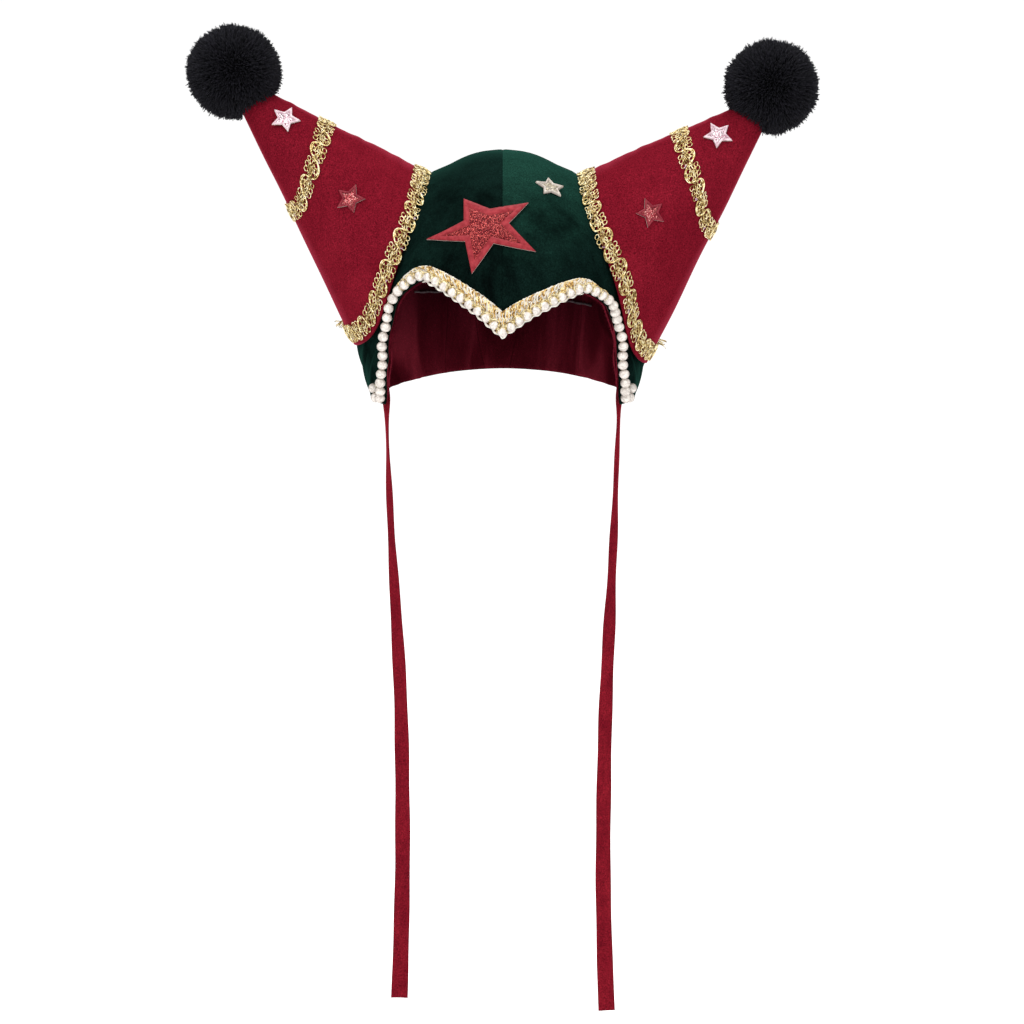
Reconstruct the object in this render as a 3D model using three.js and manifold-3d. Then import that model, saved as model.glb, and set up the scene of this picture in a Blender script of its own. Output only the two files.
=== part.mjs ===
// A jester hat: a two-panel velvet crown with a face opening, two hollow horns with pompoms,
// gold braid, a string of pearls round the opening, glitter stars and two hanging ribbon ties.
// Millimetres, +Z up, front along -Y. The origin is the middle of the head opening, at the rim.
import * as THREE from 'three';
import { mergeVertices } from 'three/addons/utils/BufferGeometryUtils.js';
import Module from 'manifold-3d';

// Crown
const CROWN_WIDTH = 176;
const CROWN_DEPTH = 196;
const SIDE_HEIGHT = 55;
const DOME_HEIGHT = 88;
const RIM_TAPER = 0.115;
const BACK_RIM_RISE = 4;
const BACK_RISE_START = 110;
const PANEL_WALL = 2;
const CENTRE_SEAM_GAP = 0.3;
const LAYER_GAP = 0.3;
const CROWN_STEPS = { front: 13, back: 9, rows: 6 };

// Face opening: from the point over the brow, by the brow's top, to the corner at the cheek.
// turn is a share of CORNER_TURN and height a share of BROW_HEIGHT.
const CORNER_TURN = 60.5;
const BROW_HEIGHT = 78.4;
const OPENING_EDGE = [
  { turn: 0, height: 0.64 },
  { turn: 0.16, height: 0.8 },
  { turn: 0.33, height: 0.925 },
  { turn: 0.46, height: 0.993 },
  { turn: 0.54, height: 0.995 },
  { turn: 0.63, height: 0.93 },
  { turn: 0.695, height: 0.855 },
  { turn: 0.735, height: 0.76 },
  { turn: 0.77, height: 0.655 },
  { turn: 0.8, height: 0.54 },
  { turn: 0.83, height: 0.42 },
  { turn: 0.865, height: 0.3 },
  { turn: 0.905, height: 0.185 },
  { turn: 0.945, height: 0.1 },
  { turn: 1, height: 0.03 },
];
const EDGE_SAMPLES = 120;
const CORNER_HEIGHT = OPENING_EDGE.at(-1).height * BROW_HEIGHT;
const CORNER_FALL_END = 90;

// Lining, with folds that run up from the rim. turn and spread are degrees round the crown,
// depth is a share of FOLD_DEPTH.
const LINING_WALL = 1;
const LINING_SETBACK = 1.5;
const FOLD_DEPTH = 3.5;
const LINING_FOLDS = [
  { turn: 84, spread: 6, depth: 0.7 },
  { turn: 108, spread: 7, depth: 1 },
  { turn: 132, spread: 6, depth: 0.6 },
];

// Stay tape across the inside of the back
const STAY_HEIGHT = 48;
const STAY_LEAN = 4;
const STAY_WIDTH = 3;
const STAY_THICKNESS = 0.8;
const STAY_GAP = 1;
const STAY_REACH = 40;
const STAY_STEPS = 10;

// Horns. The cone's apex lies HORN_OVERHANG outside the crown's side and HORN_RISE over its
// widest level. rise, tilt and spread are shares of the sizes: the right horn droops a little.
const HORN_OVERHANG = 74;
const HORN_RISE = 130;
const HORN_TILT = 44.8;
const HORN_SPREAD = 19.6;
const HORN_TRIM_GAP = 0.6;
const DEPTH_STEPS = [0.02, 0.002];
const DEEPEST = 2;
const HORN_WALL = 2;
const HORN_TIP = 18;
const HORN_TIP_CAP = 4;
const HORN_SIDES = 28;
const SAMPLES_PER_SIDE = 3;
const SEAT_GAP = 0.6;
const SEAT_TOLERANCE = 1e-4;
const HORNS = [
  { name: 'left', side: -1, rise: 1.045, tilt: 1.022, spread: 0.963 },
  { name: 'right', side: 1, rise: 0.965, tilt: 0.979, spread: 1.036 },
];

// Pompoms: a head of yarn with locks standing out of it, sewn over each horn's tip
const POMPOM_DIAMETER = 55;
const POMPOM_LOCK = 5;
const POMPOM_ALONG = 6;
const POMPOM_LIFT = 5;
const POMPOM_DETAIL = 2;
const POMPOM_LOCK_SHARES = [1, 0.75, 0.5, 0.25];

// Gold braid round the horns
const BRAID_WIDTH = 11;
const BRAID_THICKNESS = 1.5;
const BRAID_PITCH = 19.5;
const BRAID_SCALLOP = 0.9;
const BRAID_GAP = 0.6;
const BRAID_STEPS = 4;
const BASE_BRAID_SETBACK = 7.5;
const MID_BRAID_SHARE = 0.52;

// Pearls and their braid round the face opening
const PEARL_DIAMETER = 5.4;
const PEARL_PITCH = 5.9;
const PEARL_THREAD = 1.6;
const PEARL_SETBACK = 1.5;
const PEARL_SIDES = 10;
const PEARL_FOLD = 6;
const EDGE_BRAID_WIDTH = 6.8;
const EDGE_BRAID_NARROW = 1.2;
const EDGE_BRAID_TAPER = { from: 0.05, to: 0.58 };
const EDGE_BRAID_THICKNESS = 1;
const EDGE_BRAID_STEPS = 18;

// Stars. Places on the crown are seen from the front, places on a horn run from its apex.
const STAR_THICKNESS = 1;
const STAR_RIM = 0.6;
const STAR_RING_SHARES = { middle: 0.45, dip: 0.8, rim: 0.88, back: 0.5 };
const LARGE_STAR_REACH = 32.5;
const LARGE_STAR_PLACE = { x: -10, z: 106.5 };
const LARGE_STAR_CORNERS = [
  { angle: 129, reach: 0.56 },
  { angle: 71, reach: 0.3 },
  { angle: 27, reach: 0.84 },
  { angle: 9, reach: 0.42 },
  { angle: -24, reach: 0.95 },
  { angle: -57, reach: 0.29 },
  { angle: -106, reach: 0.76 },
  { angle: -146, reach: 0.39 },
  { angle: -167, reach: 1 },
  { angle: -196, reach: 0.36 },
];
const SMALL_STAR_POINTS = 5;
const SMALL_STAR_REACH = 8;
const SMALL_STAR_WAIST = 0.5;
const FRONT_STAR_PLACE = { x: 26, z: 127, spin: -3 };
const SILVER_STAR_PLACE = { along: 47, across: 7.4, spin: { left: -10, right: -26 } };
const RED_STAR_PLACE = { along: 104, across: 5, spin: { left: 1, right: -36 } };

// Ribbon ties, sewn inside the corners of the face opening. drop is a share of the length,
// inward a share of TIE_SWAY, and turn is the ribbon's angle to the front, in degrees.
const TIE_WIDTH = 10;
const TIE_THICKNESS = 1;
const TIE_SEWN = 12;
const TIE_TURN = 65;
const TIE_SWAY = 8;
const TIE_LENGTHS = { left: 368, right: 376 };
const TIE_STEPS = 15;
const TIE_ROUTE = [
  { drop: 0, inward: -0.1, turn: 62 },
  { drop: 0.02, inward: 0, turn: 64 },
  { drop: 0.06, inward: 0.06, turn: 79 },
  { drop: 0.14, inward: 0.2, turn: 73 },
  { drop: 0.22, inward: 0.36, turn: 65 },
  { drop: 0.3, inward: 0.55, turn: 58 },
  { drop: 0.38, inward: 0.72, turn: 45 },
  { drop: 0.46, inward: 0.87, turn: 40 },
  { drop: 0.54, inward: 0.96, turn: 35 },
  { drop: 0.67, inward: 1, turn: 30 },
  { drop: 0.79, inward: 0.99, turn: 26 },
  { drop: 0.92, inward: 0.86, turn: 18 },
  { drop: 1, inward: 0.72, turn: 6 },
];

const WELD_DISTANCE = 1e-3;

const wasm = await Module();
wasm.setup();

const radians = THREE.MathUtils.degToRad;
const MATERIALS = {
  green_velvet: new THREE.MeshStandardMaterial({ color: 0x0b3a2a, roughness: 0.9, metalness: 0 }),
  red_velvet: new THREE.MeshStandardMaterial({ color: 0x6e0f22, roughness: 0.9, metalness: 0 }),
  lining: new THREE.MeshStandardMaterial({ color: 0x4a0a16, roughness: 0.85, metalness: 0 }),
  grey_tape: new THREE.MeshStandardMaterial({ color: 0x77706c, roughness: 0.8, metalness: 0 }),
  black_yarn: new THREE.MeshStandardMaterial({ color: 0x111116, roughness: 1, metalness: 0 }),
  gold_braid: new THREE.MeshStandardMaterial({ color: 0xc9a552, roughness: 0.4, metalness: 0.7 }),
  pearl: new THREE.MeshStandardMaterial({ color: 0xf0ece6, roughness: 0.25, metalness: 0 }),
  red_glitter: new THREE.MeshStandardMaterial({ color: 0xb02a32, roughness: 0.4, metalness: 0.4 }),
  silver_glitter: new THREE.MeshStandardMaterial({ color: 0xcdb8be, roughness: 0.35, metalness: 0.5 }),
};

// Joins a row of sections, each a ring of points, into one closed body. An open row is capped:
// each section runs out along one face and back along the other, so a cap is a strip across it.
function skin(sections, closed) {
  const size = sections[0].length;
  const points = sections.flat();
  const spans = closed ? sections.length : sections.length - 1;
  const triangles = [];
  for (let i = 0; i < spans; i += 1) {
    const here = i * size;
    const next = ((i + 1) % sections.length) * size;
    for (let j = 0; j < size; j += 1) {
      const k = (j + 1) % size;
      triangles.push(...splitQuad(points, [here + j, next + j, next + k, here + k]));
    }
  }
  if (!closed) {
    const last = (sections.length - 1) * size;
    for (let j = 0; j < size / 2 - 1; j += 1) {
      const k = size - 1 - j;
      triangles.push([j, j + 1, k - 1], [j, k - 1, k]);
      triangles.push([last + j, last + k - 1, last + j + 1], [last + j, last + k, last + k - 1]);
    }
  }
  return solid(points, triangles);
}

// Two triangles for a quad, cut along its shorter diagonal so that parallel layers match
function splitQuad(points, [a, b, c, d]) {
  if (points[a].distanceTo(points[c]) <= points[b].distanceTo(points[d])) {
    return [[a, b, c], [a, c, d]];
  }
  return [[a, b, d], [b, c, d]];
}

// Welds points that lie together, drops the triangles that this closes, and turns faces out.
function solid(points, triangles) {
  const loose = new THREE.BufferGeometry();
  loose.setAttribute('position', new THREE.Float32BufferAttribute(points.flatMap((p) => p.toArray()), 3));
  loose.setIndex(triangles.flat());
  const welded = mergeVertices(loose, WELD_DISTANCE);
  const corners = welded.index.array;
  const kept = [];
  for (let i = 0; i < corners.length; i += 3) {
    const [a, b, c] = [corners[i], corners[i + 1], corners[i + 2]];
    if (a !== b && b !== c && c !== a) {
      kept.push(a, b, c);
    }
  }
  welded.setIndex(signedVolume(welded, kept) > 0 ? kept : kept.reverse());
  welded.computeVertexNormals();
  return welded;
}

function signedVolume(geometry, corners) {
  const [a, b, c] = [new THREE.Vector3(), new THREE.Vector3(), new THREE.Vector3()];
  let volume = 0;
  for (let i = 0; i < corners.length; i += 3) {
    a.fromBufferAttribute(geometry.attributes.position, corners[i]);
    b.fromBufferAttribute(geometry.attributes.position, corners[i + 1]);
    c.fromBufferAttribute(geometry.attributes.position, corners[i + 2]);
    volume += a.dot(b.cross(c)) / 6;
  }
  return volume;
}

// Crown surface. turn runs from the front (0) round to the back, lift from the rim (-1) by the
// widest level (0) to the top (1), and inset moves the surface inwards.
function crownPoint(turn, lift, inset) {
  const angle = (Math.max(lift, 0) * Math.PI) / 2;
  const scale = Math.cos(angle) - RIM_TAPER * Math.min(lift, 0) ** 2;
  return new THREE.Vector3(
    (CROWN_WIDTH / 2 - inset) * scale * Math.sin(turn),
    -(CROWN_DEPTH / 2 - inset) * scale * Math.cos(turn),
    SIDE_HEIGHT * (1 + Math.min(lift, 0)) + (DOME_HEIGHT - inset) * Math.sin(angle),
  );
}

function liftAt(height) {
  const climb = Math.min((height - SIDE_HEIGHT) / DOME_HEIGHT, 1);
  return climb < 0 ? height / SIDE_HEIGHT - 1 : Math.asin(climb) / (Math.PI / 2);
}

// How wide the crown is at a height, as a share of its widest level
function crownScale(height, clearance) {
  const climb = Math.min((height - SIDE_HEIGHT) / (DOME_HEIGHT + clearance), 1);
  return climb < 0 ? 1 - RIM_TAPER * (1 - height / SIDE_HEIGHT) ** 2 : Math.sqrt(1 - climb ** 2);
}

// Above zero outside the crown, with a clearance added to it
function crownReach(point, clearance) {
  const across = point.x / (CROWN_WIDTH / 2 + clearance);
  const ahead = point.y / (CROWN_DEPTH / 2 + clearance);
  return Math.hypot(across, ahead) - crownScale(point.z, clearance);
}

// The crown's front surface at a place seen from the front
function crownFront(x, z, clearance) {
  const across = x / (CROWN_WIDTH / 2 + clearance);
  const ahead = Math.sqrt(Math.max(crownScale(z, clearance) ** 2 - across ** 2, 0));
  return new THREE.Vector3(x, -(CROWN_DEPTH / 2 + clearance) * ahead, z);
}

// Edge of the fabric, laid out flat: x is the distance round the crown, y the height
const EDGE_RADIUS = (CROWN_WIDTH + CROWN_DEPTH) / 4;
const openingEdge = new THREE.SplineCurve(
  OPENING_EDGE.map((row) => new THREE.Vector2(
    radians(row.turn * CORNER_TURN) * EDGE_RADIUS,
    row.height * BROW_HEIGHT,
  )),
);

function rimHeight(turn) {
  const fallen = THREE.MathUtils.smoothstep(turn, radians(CORNER_TURN), radians(CORNER_FALL_END));
  const risen = THREE.MathUtils.smoothstep(turn, radians(BACK_RISE_START), Math.PI);
  return CORNER_HEIGHT * (1 - fallen) + BACK_RIM_RISE * risen;
}

// Places along the fabric's edge on one side, from the front point to the middle of the back
function edgeStations() {
  const corner = radians(CORNER_TURN);
  const front = openingEdge.getSpacedPoints(CROWN_STEPS.front).map((point) => ({
    turn: point.x / EDGE_RADIUS,
    height: point.y,
  }));
  const back = Array.from({ length: CROWN_STEPS.back }, (_, i) => {
    const turn = corner + ((Math.PI - corner) * (i + 1)) / CROWN_STEPS.back;
    return { turn, height: rimHeight(turn) };
  });
  return [...front, ...back];
}

// A cut through a layer of the crown from its edge to the top and back down its inner face.
// Every layer has its rows at the same heights, and setback raises its edge alone.
function layerSection(turn, height, setback, insetAt, wall) {
  const start = liftAt(height);
  const { rows } = CROWN_STEPS;
  const lifts = Array.from({ length: rows + 1 }, (_, i) => start + ((1 - start) * i) / rows);
  lifts[0] = liftAt(height + setback);
  const outer = lifts.map((lift) => crownPoint(turn, lift, insetAt(lift)));
  const inner = lifts.map((lift) => crownPoint(turn, lift, insetAt(lift) + wall));
  return [...outer, ...inner.reverse()];
}

function crownPanel(side) {
  const sections = edgeStations().map(({ turn, height }) => {
    const section = layerSection(turn, height, 0, () => 0, PANEL_WALL);
    section.forEach((point) => {
      point.x = side * (Math.abs(point.x) + CENTRE_SEAM_GAP / 2);
    });
    return section;
  });
  return skin(sections, false);
}

function foldInset(turn, lift) {
  const fade = Math.max(-lift, 0);
  const folds = LINING_FOLDS.map((fold) => {
    const away = (Math.abs(turn) - radians(fold.turn)) / radians(fold.spread);
    return fold.depth * Math.exp(-(away ** 2));
  });
  return FOLD_DEPTH * fade * folds.reduce((sum, depth) => sum + depth, 0);
}

function crownLining() {
  const right = edgeStations();
  const left = right.slice(1, -1).reverse().map(({ turn, height }) => ({ turn: -turn, height }));
  const sections = [...right, ...left].map(({ turn, height }) => {
    const insetAt = (lift) => PANEL_WALL + LAYER_GAP + foldInset(turn, lift);
    return layerSection(turn, height, LINING_SETBACK, insetAt, LINING_WALL);
  });
  return skin(sections, true);
}

function liningStay() {
  const face = PANEL_WALL + LAYER_GAP + LINING_WALL + STAY_GAP;
  const sections = Array.from({ length: STAY_STEPS + 1 }, (_, i) => {
    const share = (2 * i) / STAY_STEPS - 1;
    const turn = Math.PI + share * radians(STAY_REACH);
    const low = liftAt(STAY_HEIGHT + share * STAY_LEAN - STAY_WIDTH / 2);
    const high = liftAt(STAY_HEIGHT + share * STAY_LEAN + STAY_WIDTH / 2);
    return [
      crownPoint(turn, low, face),
      crownPoint(turn, high, face),
      crownPoint(turn, high, face + STAY_THICKNESS),
      crownPoint(turn, low, face + STAY_THICKNESS),
    ];
  });
  return skin(sections, false);
}

// Horns: an oval cone on an axis that runs from its apex down to the crown
function hornFrame({ side, rise, tilt, spread }) {
  const lean = radians(HORN_TILT * tilt);
  const horn = {
    apex: new THREE.Vector3(side * (CROWN_WIDTH / 2 + HORN_OVERHANG), 0, SIDE_HEIGHT + HORN_RISE * rise),
    axis: new THREE.Vector3(-side * Math.cos(lean), 0, -Math.sin(lean)),
    up: new THREE.Vector3(-side * Math.sin(lean), 0, Math.cos(lean)),
    spread: radians(HORN_SPREAD * spread),
  };
  horn.depth = hornDepth(horn);
  return horn;
}

// How much deeper than wide a horn is: its seam and braid reach the pearls at the cheek
function hornDepth(frame) {
  const pearls = pearlCentres();
  let depth = 1;
  for (const step of DEPTH_STEPS) {
    while (depth < DEEPEST && trimClearance({ ...frame, depth: depth + step }, pearls) > HORN_TRIM_GAP) {
      depth += step;
    }
  }
  return depth;
}

function trimClearance(horn, pearls) {
  const setback = BASE_BRAID_SETBACK - BRAID_WIDTH / 2 - BRAID_SCALLOP;
  const distances = turns(HORN_SIDES * SAMPLES_PER_SIDE).flatMap((turn) => {
    const seat = seatAlong(horn, turn, 0);
    const seam = hornPoint(horn, seat, turn, 0);
    const braid = hornPoint(horn, seat - setback, turn, BRAID_GAP + BRAID_THICKNESS);
    return pearls.map((pearl) => Math.min(pearl.distanceTo(seam), pearl.distanceTo(braid)));
  });
  return Math.min(...distances) - PEARL_DIAMETER / 2 - LAYER_GAP - EDGE_BRAID_NARROW;
}

function hornPoint(horn, along, turn, out) {
  const radius = along * Math.tan(horn.spread);
  const skinOut = out / Math.cos(horn.spread);
  return horn.apex.clone()
    .addScaledVector(horn.axis, along)
    .addScaledVector(horn.up, (radius + skinOut) * Math.cos(turn))
    .add(new THREE.Vector3(0, -(radius * horn.depth + skinOut) * Math.sin(turn), 0));
}

function hornAxisPoint(horn, along) {
  return horn.apex.clone().addScaledVector(horn.axis, along);
}

// Distance from the apex at which a horn's surface meets the crown. The surface line is
// followed to the place where it comes nearest, then back to where it goes in.
function seatAlong(horn, turn, out) {
  const reach = (along) => crownReach(hornPoint(horn, along, turn, out), SEAT_GAP);
  let [low, high] = [HORN_TIP, 2 * (CROWN_WIDTH / 2 + HORN_OVERHANG)];
  while (high - low > SEAT_TOLERANCE) {
    const third = (high - low) / 3;
    [low, high] = reach(low + third) < reach(high - third) ? [low, high - third] : [low + third, high];
  }
  [low, high] = [HORN_TIP, high];
  while (high - low > SEAT_TOLERANCE) {
    const middle = (low + high) / 2;
    [low, high] = reach(middle) > 0 ? [middle, high] : [low, middle];
  }
  return low;
}

const turns = (count) => Array.from({ length: count }, (_, i) => (2 * Math.PI * i) / count);

function hornShell(horn) {
  const cavity = HORN_TIP + HORN_TIP_CAP;
  const sections = turns(HORN_SIDES).map((turn) => {
    const outerSeat = seatAlong(horn, turn, 0);
    const innerSeat = seatAlong(horn, turn, -HORN_WALL);
    return [
      hornAxisPoint(horn, HORN_TIP),
      hornPoint(horn, HORN_TIP, turn, 0),
      hornPoint(horn, (HORN_TIP + outerSeat) / 2, turn, 0),
      hornPoint(horn, outerSeat, turn, 0),
      hornPoint(horn, innerSeat, turn, -HORN_WALL),
      hornPoint(horn, (cavity + innerSeat) / 2, turn, -HORN_WALL),
      hornPoint(horn, cavity, turn, -HORN_WALL),
      hornAxisPoint(horn, cavity),
    ];
  });
  return skin(sections, true);
}

function toManifold(geometry) {
  const plain = new THREE.BufferGeometry();
  plain.setAttribute('position', geometry.attributes.position);
  plain.setIndex(geometry.index);
  const merged = mergeVertices(plain);
  return new wasm.Manifold(new wasm.Mesh({
    numProp: 3,
    vertProperties: new Float32Array(merged.attributes.position.array),
    triVerts: new Uint32Array(merged.index.array),
  }));
}

function fromManifold(body) {
  const mesh = body.getMesh();
  const geometry = new THREE.BufferGeometry();
  geometry.setAttribute('position', new THREE.BufferAttribute(new Float32Array(mesh.vertProperties), 3));
  geometry.setIndex(new THREE.BufferAttribute(new Uint32Array(mesh.triVerts), 1));
  geometry.computeVertexNormals();
  return geometry;
}

// A ball whose every face is drawn out to a lock of yarn, long and short ones in turn
function pompomHead(centre) {
  const ball = new THREE.IcosahedronGeometry(POMPOM_DIAMETER / 2 - POMPOM_LOCK, POMPOM_DETAIL);
  const corners = ball.attributes.position;
  const points = [];
  const triangles = [];
  for (let i = 0; i < corners.count; i += 3) {
    const face = [0, 1, 2].map((k) => new THREE.Vector3().fromBufferAttribute(corners, i + k));
    const tip = face[0].clone().add(face[1]).add(face[2]).divideScalar(3);
    const lock = POMPOM_LOCK * POMPOM_LOCK_SHARES[i % POMPOM_LOCK_SHARES.length];
    tip.setLength(ball.parameters.radius + lock);
    const start = points.length;
    points.push(...face, tip);
    triangles.push([start, start + 1, start + 3], [start + 1, start + 2, start + 3]);
    triangles.push([start + 2, start, start + 3]);
  }
  points.forEach((point) => point.add(centre));
  return solid(points, triangles);
}

function pompom(horn) {
  const centre = hornAxisPoint(horn, POMPOM_ALONG).addScaledVector(horn.up, POMPOM_LIFT);
  const end = HORN_TIP + POMPOM_DIAMETER;
  const socket = skin(turns(HORN_SIDES).map((turn) => [
    hornAxisPoint(horn, HORN_TIP - LAYER_GAP),
    hornPoint(horn, HORN_TIP - LAYER_GAP, turn, LAYER_GAP),
    hornPoint(horn, end, turn, LAYER_GAP),
    hornAxisPoint(horn, end),
  ]), true);
  return fromManifold(toManifold(pompomHead(centre)).subtract(toManifold(socket)));
}

// Turns round a horn that are evenly spaced along a line on its surface
function evenTurns(horn, alongAt) {
  const samples = turns(HORN_SIDES * SAMPLES_PER_SIDE);
  samples.push(2 * Math.PI);
  const lengths = [0];
  for (let i = 1; i < samples.length; i += 1) {
    const before = hornPoint(horn, alongAt(samples[i - 1]), samples[i - 1], 0);
    const here = hornPoint(horn, alongAt(samples[i]), samples[i], 0);
    lengths.push(lengths[i - 1] + here.distanceTo(before));
  }
  const total = lengths.at(-1);
  return { total, turnAt: (share) => {
    const i = Math.max(lengths.findIndex((length) => length >= share * total), 1);
    const part = (share * total - lengths[i - 1]) / (lengths[i] - lengths[i - 1]);
    return samples[i - 1] + part * (samples[i] - samples[i - 1]);
  } };
}

// A closed band of braid round a horn, with scallops that alternate from edge to edge
function hornBraid(horn, alongAt) {
  const { total, turnAt } = evenTurns(horn, alongAt);
  const repeats = Math.round(total / BRAID_PITCH);
  const stations = repeats * BRAID_STEPS;
  const sections = Array.from({ length: stations }, (_, i) => {
    const turn = turnAt(i / stations);
    const scallop = BRAID_SCALLOP * Math.cos((2 * Math.PI * i) / BRAID_STEPS);
    const near = alongAt(turn) - BRAID_WIDTH / 2 - scallop;
    const far = alongAt(turn) + BRAID_WIDTH / 2 - scallop;
    return [
      hornPoint(horn, near, turn, BRAID_GAP),
      hornPoint(horn, far, turn, BRAID_GAP),
      hornPoint(horn, far, turn, BRAID_GAP + BRAID_THICKNESS),
      hornPoint(horn, near, turn, BRAID_GAP + BRAID_THICKNESS),
    ];
  });
  return skin(sections, true);
}

const baseBraidAlong = (horn) => (turn) => seatAlong(horn, turn, 0) - BASE_BRAID_SETBACK;
const midBraidAlong = (horn) => (turn) => MID_BRAID_SHARE * seatAlong(horn, turn, 0);

// The opening's edge moved into the fabric, laid out flat, on the right half. What the move
// pushes over the middle at the front point is cut off there, and so is what lies below lowest.
function movedEdge(distanceAt, lowest) {
  const moved = openingEdge.getSpacedPoints(EDGE_SAMPLES).map((point, i) => {
    const share = i / EDGE_SAMPLES;
    const tangent = openingEdge.getTangentAt(share);
    const distance = distanceAt(share);
    return new THREE.Vector2(point.x - tangent.y * distance, point.y + tangent.x * distance);
  });
  const first = moved.findIndex((point) => point.x > 0);
  const kept = moved.slice(first);
  const slope = (kept[1].y - kept[0].y) / (kept[1].x - kept[0].x);
  const middle = new THREE.Vector2(0, kept[0].y - kept[0].x * slope);
  const clear = kept.filter((point) => point.x > WELD_DISTANCE && point.y > lowest);
  return new THREE.SplineCurve([middle, ...clear]);
}

function onCrown(flat, out) {
  return crownPoint(flat.x / EDGE_RADIUS, liftAt(flat.y), -out);
}

function mirrored(right) {
  const left = right.slice(1).reverse().map((point) => new THREE.Vector2(-point.x, point.y));
  return [...left, ...right];
}

function edgeBraidWidth(share) {
  const { from, to } = EDGE_BRAID_TAPER;
  const taper = THREE.MathUtils.smoothstep(share, from, to);
  return THREE.MathUtils.lerp(EDGE_BRAID_WIDTH, EDGE_BRAID_NARROW, taper);
}

function edgeBraid() {
  const start = PEARL_SETBACK + PEARL_DIAMETER / 2 + LAYER_GAP;
  const lowest = CORNER_HEIGHT + 1.5 * PEARL_DIAMETER + PEARL_FOLD;
  const nearEdge = movedEdge(() => start, lowest);
  const farEdge = movedEdge((share) => start + edgeBraidWidth(share), lowest);
  const near = mirrored(nearEdge.getSpacedPoints(EDGE_BRAID_STEPS));
  const far = mirrored(farEdge.getSpacedPoints(EDGE_BRAID_STEPS));
  const top = LAYER_GAP + EDGE_BRAID_THICKNESS;
  const sections = near.map((place, i) => [
    onCrown(place, LAYER_GAP),
    onCrown(far[i], LAYER_GAP),
    onCrown(far[i], top),
    onCrown(place, top),
  ]);
  return skin(sections, false);
}

// Pearl centres from the fold at one cheek round the opening to the fold at the other
function pearlCentres() {
  const lowest = CORNER_HEIGHT + PEARL_DIAMETER / 2;
  const edge = movedEdge(() => PEARL_SETBACK, lowest);
  const corner = edge.getPointAt(1);
  const places = edge.getSpacedPoints(EDGE_SAMPLES);
  places.push(new THREE.Vector2(corner.x + PEARL_FOLD / 2, lowest));
  places.push(new THREE.Vector2(corner.x + PEARL_FOLD, lowest + PEARL_FOLD / 2));
  places.push(new THREE.Vector2(corner.x + PEARL_FOLD, lowest + PEARL_FOLD));
  const path = new THREE.SplineCurve(places);
  const right = path.getSpacedPoints(Math.round(path.getLength() / PEARL_PITCH));
  return mirrored(right).map((place) => onCrown(place, LAYER_GAP + PEARL_DIAMETER / 2));
}

function ringAt(centre, direction, radius) {
  const out = new THREE.Vector3(centre.x, centre.y, 0).normalize();
  const across = new THREE.Vector3().crossVectors(direction, out).normalize();
  const above = new THREE.Vector3().crossVectors(across, direction);
  return turns(PEARL_SIDES).map((turn) => centre.clone()
    .addScaledVector(across, radius * Math.cos(turn))
    .addScaledVector(above, radius * Math.sin(turn)));
}

function pearlString() {
  const centres = pearlCentres();
  const last = centres.length - 1;
  const radius = PEARL_DIAMETER / 2;
  const sections = [];
  centres.forEach((centre, i) => {
    const before = centres[Math.max(i - 1, 0)];
    const after = centres[Math.min(i + 1, last)];
    const direction = after.clone().sub(before).normalize();
    for (const angle of [-45, 0, 45]) {
      const place = centre.clone().addScaledVector(direction, radius * Math.sin(radians(angle)));
      sections.push(ringAt(place, direction, radius * Math.cos(radians(angle))));
    }
    if (i < last) {
      const thread = after.clone().sub(centre).normalize();
      const middle = centre.clone().add(after).divideScalar(2);
      sections.push(ringAt(middle, thread, PEARL_THREAD / 2));
    }
  });
  return skin(sections, false);
}

// The large star lies over both crown panels and bends with them. Its rim is raised.
function largeStar() {
  const corners = LARGE_STAR_CORNERS.map(({ angle, reach }) => new THREE.Vector2(
    LARGE_STAR_REACH * reach * Math.cos(radians(angle)),
    LARGE_STAR_REACH * reach * Math.sin(radians(angle)),
  ));
  const outline = corners.flatMap((corner, i) => {
    const next = corners[(i + 1) % corners.length];
    return [corner, corner.clone().add(next).divideScalar(2)];
  });
  const place = (offset, share, height) => crownFront(
    LARGE_STAR_PLACE.x + offset.x * share,
    LARGE_STAR_PLACE.z + offset.y * share,
    SEAT_GAP + height,
  );
  const { middle, dip, rim, back } = STAR_RING_SHARES;
  const sections = outline.map((offset) => [
    place(offset, 0, STAR_THICKNESS),
    place(offset, middle, STAR_THICKNESS),
    place(offset, dip, STAR_THICKNESS),
    place(offset, rim, STAR_THICKNESS + STAR_RIM),
    place(offset, 1, STAR_THICKNESS + STAR_RIM),
    place(offset, 1, 0),
    place(offset, back, 0),
    place(offset, 0, 0),
  ]);
  return skin(sections, true);
}

function smallStar() {
  const outline = Array.from({ length: 2 * SMALL_STAR_POINTS }, (_, i) => {
    const reach = SMALL_STAR_REACH * (i % 2 ? SMALL_STAR_WAIST : 1);
    const angle = (Math.PI * i) / SMALL_STAR_POINTS;
    return new THREE.Vector2(reach * Math.cos(angle), reach * Math.sin(angle));
  });
  return new THREE.ExtrudeGeometry(new THREE.Shape(outline), {
    depth: STAR_THICKNESS,
    bevelEnabled: false,
  });
}

// Lays a flat piece, made in the XY plane, on a surface: place is on it, normal points out
function lay(mesh, place, normal, spin) {
  const right = new THREE.Vector3().crossVectors(new THREE.Vector3(0, 0, 1), normal).normalize();
  const up = new THREE.Vector3().crossVectors(normal, right);
  mesh.quaternion.setFromRotationMatrix(new THREE.Matrix4().makeBasis(right, up, normal));
  mesh.rotateZ(radians(spin));
  mesh.position.copy(place).addScaledVector(normal, LAYER_GAP);
}

function crownNormal(x, z) {
  const step = 0.1;
  const wide = crownFront(x + step, z, 0).sub(crownFront(x - step, z, 0));
  const high = crownFront(x, z + step, 0).sub(crownFront(x, z - step, 0));
  return wide.cross(high).normalize();
}

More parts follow.
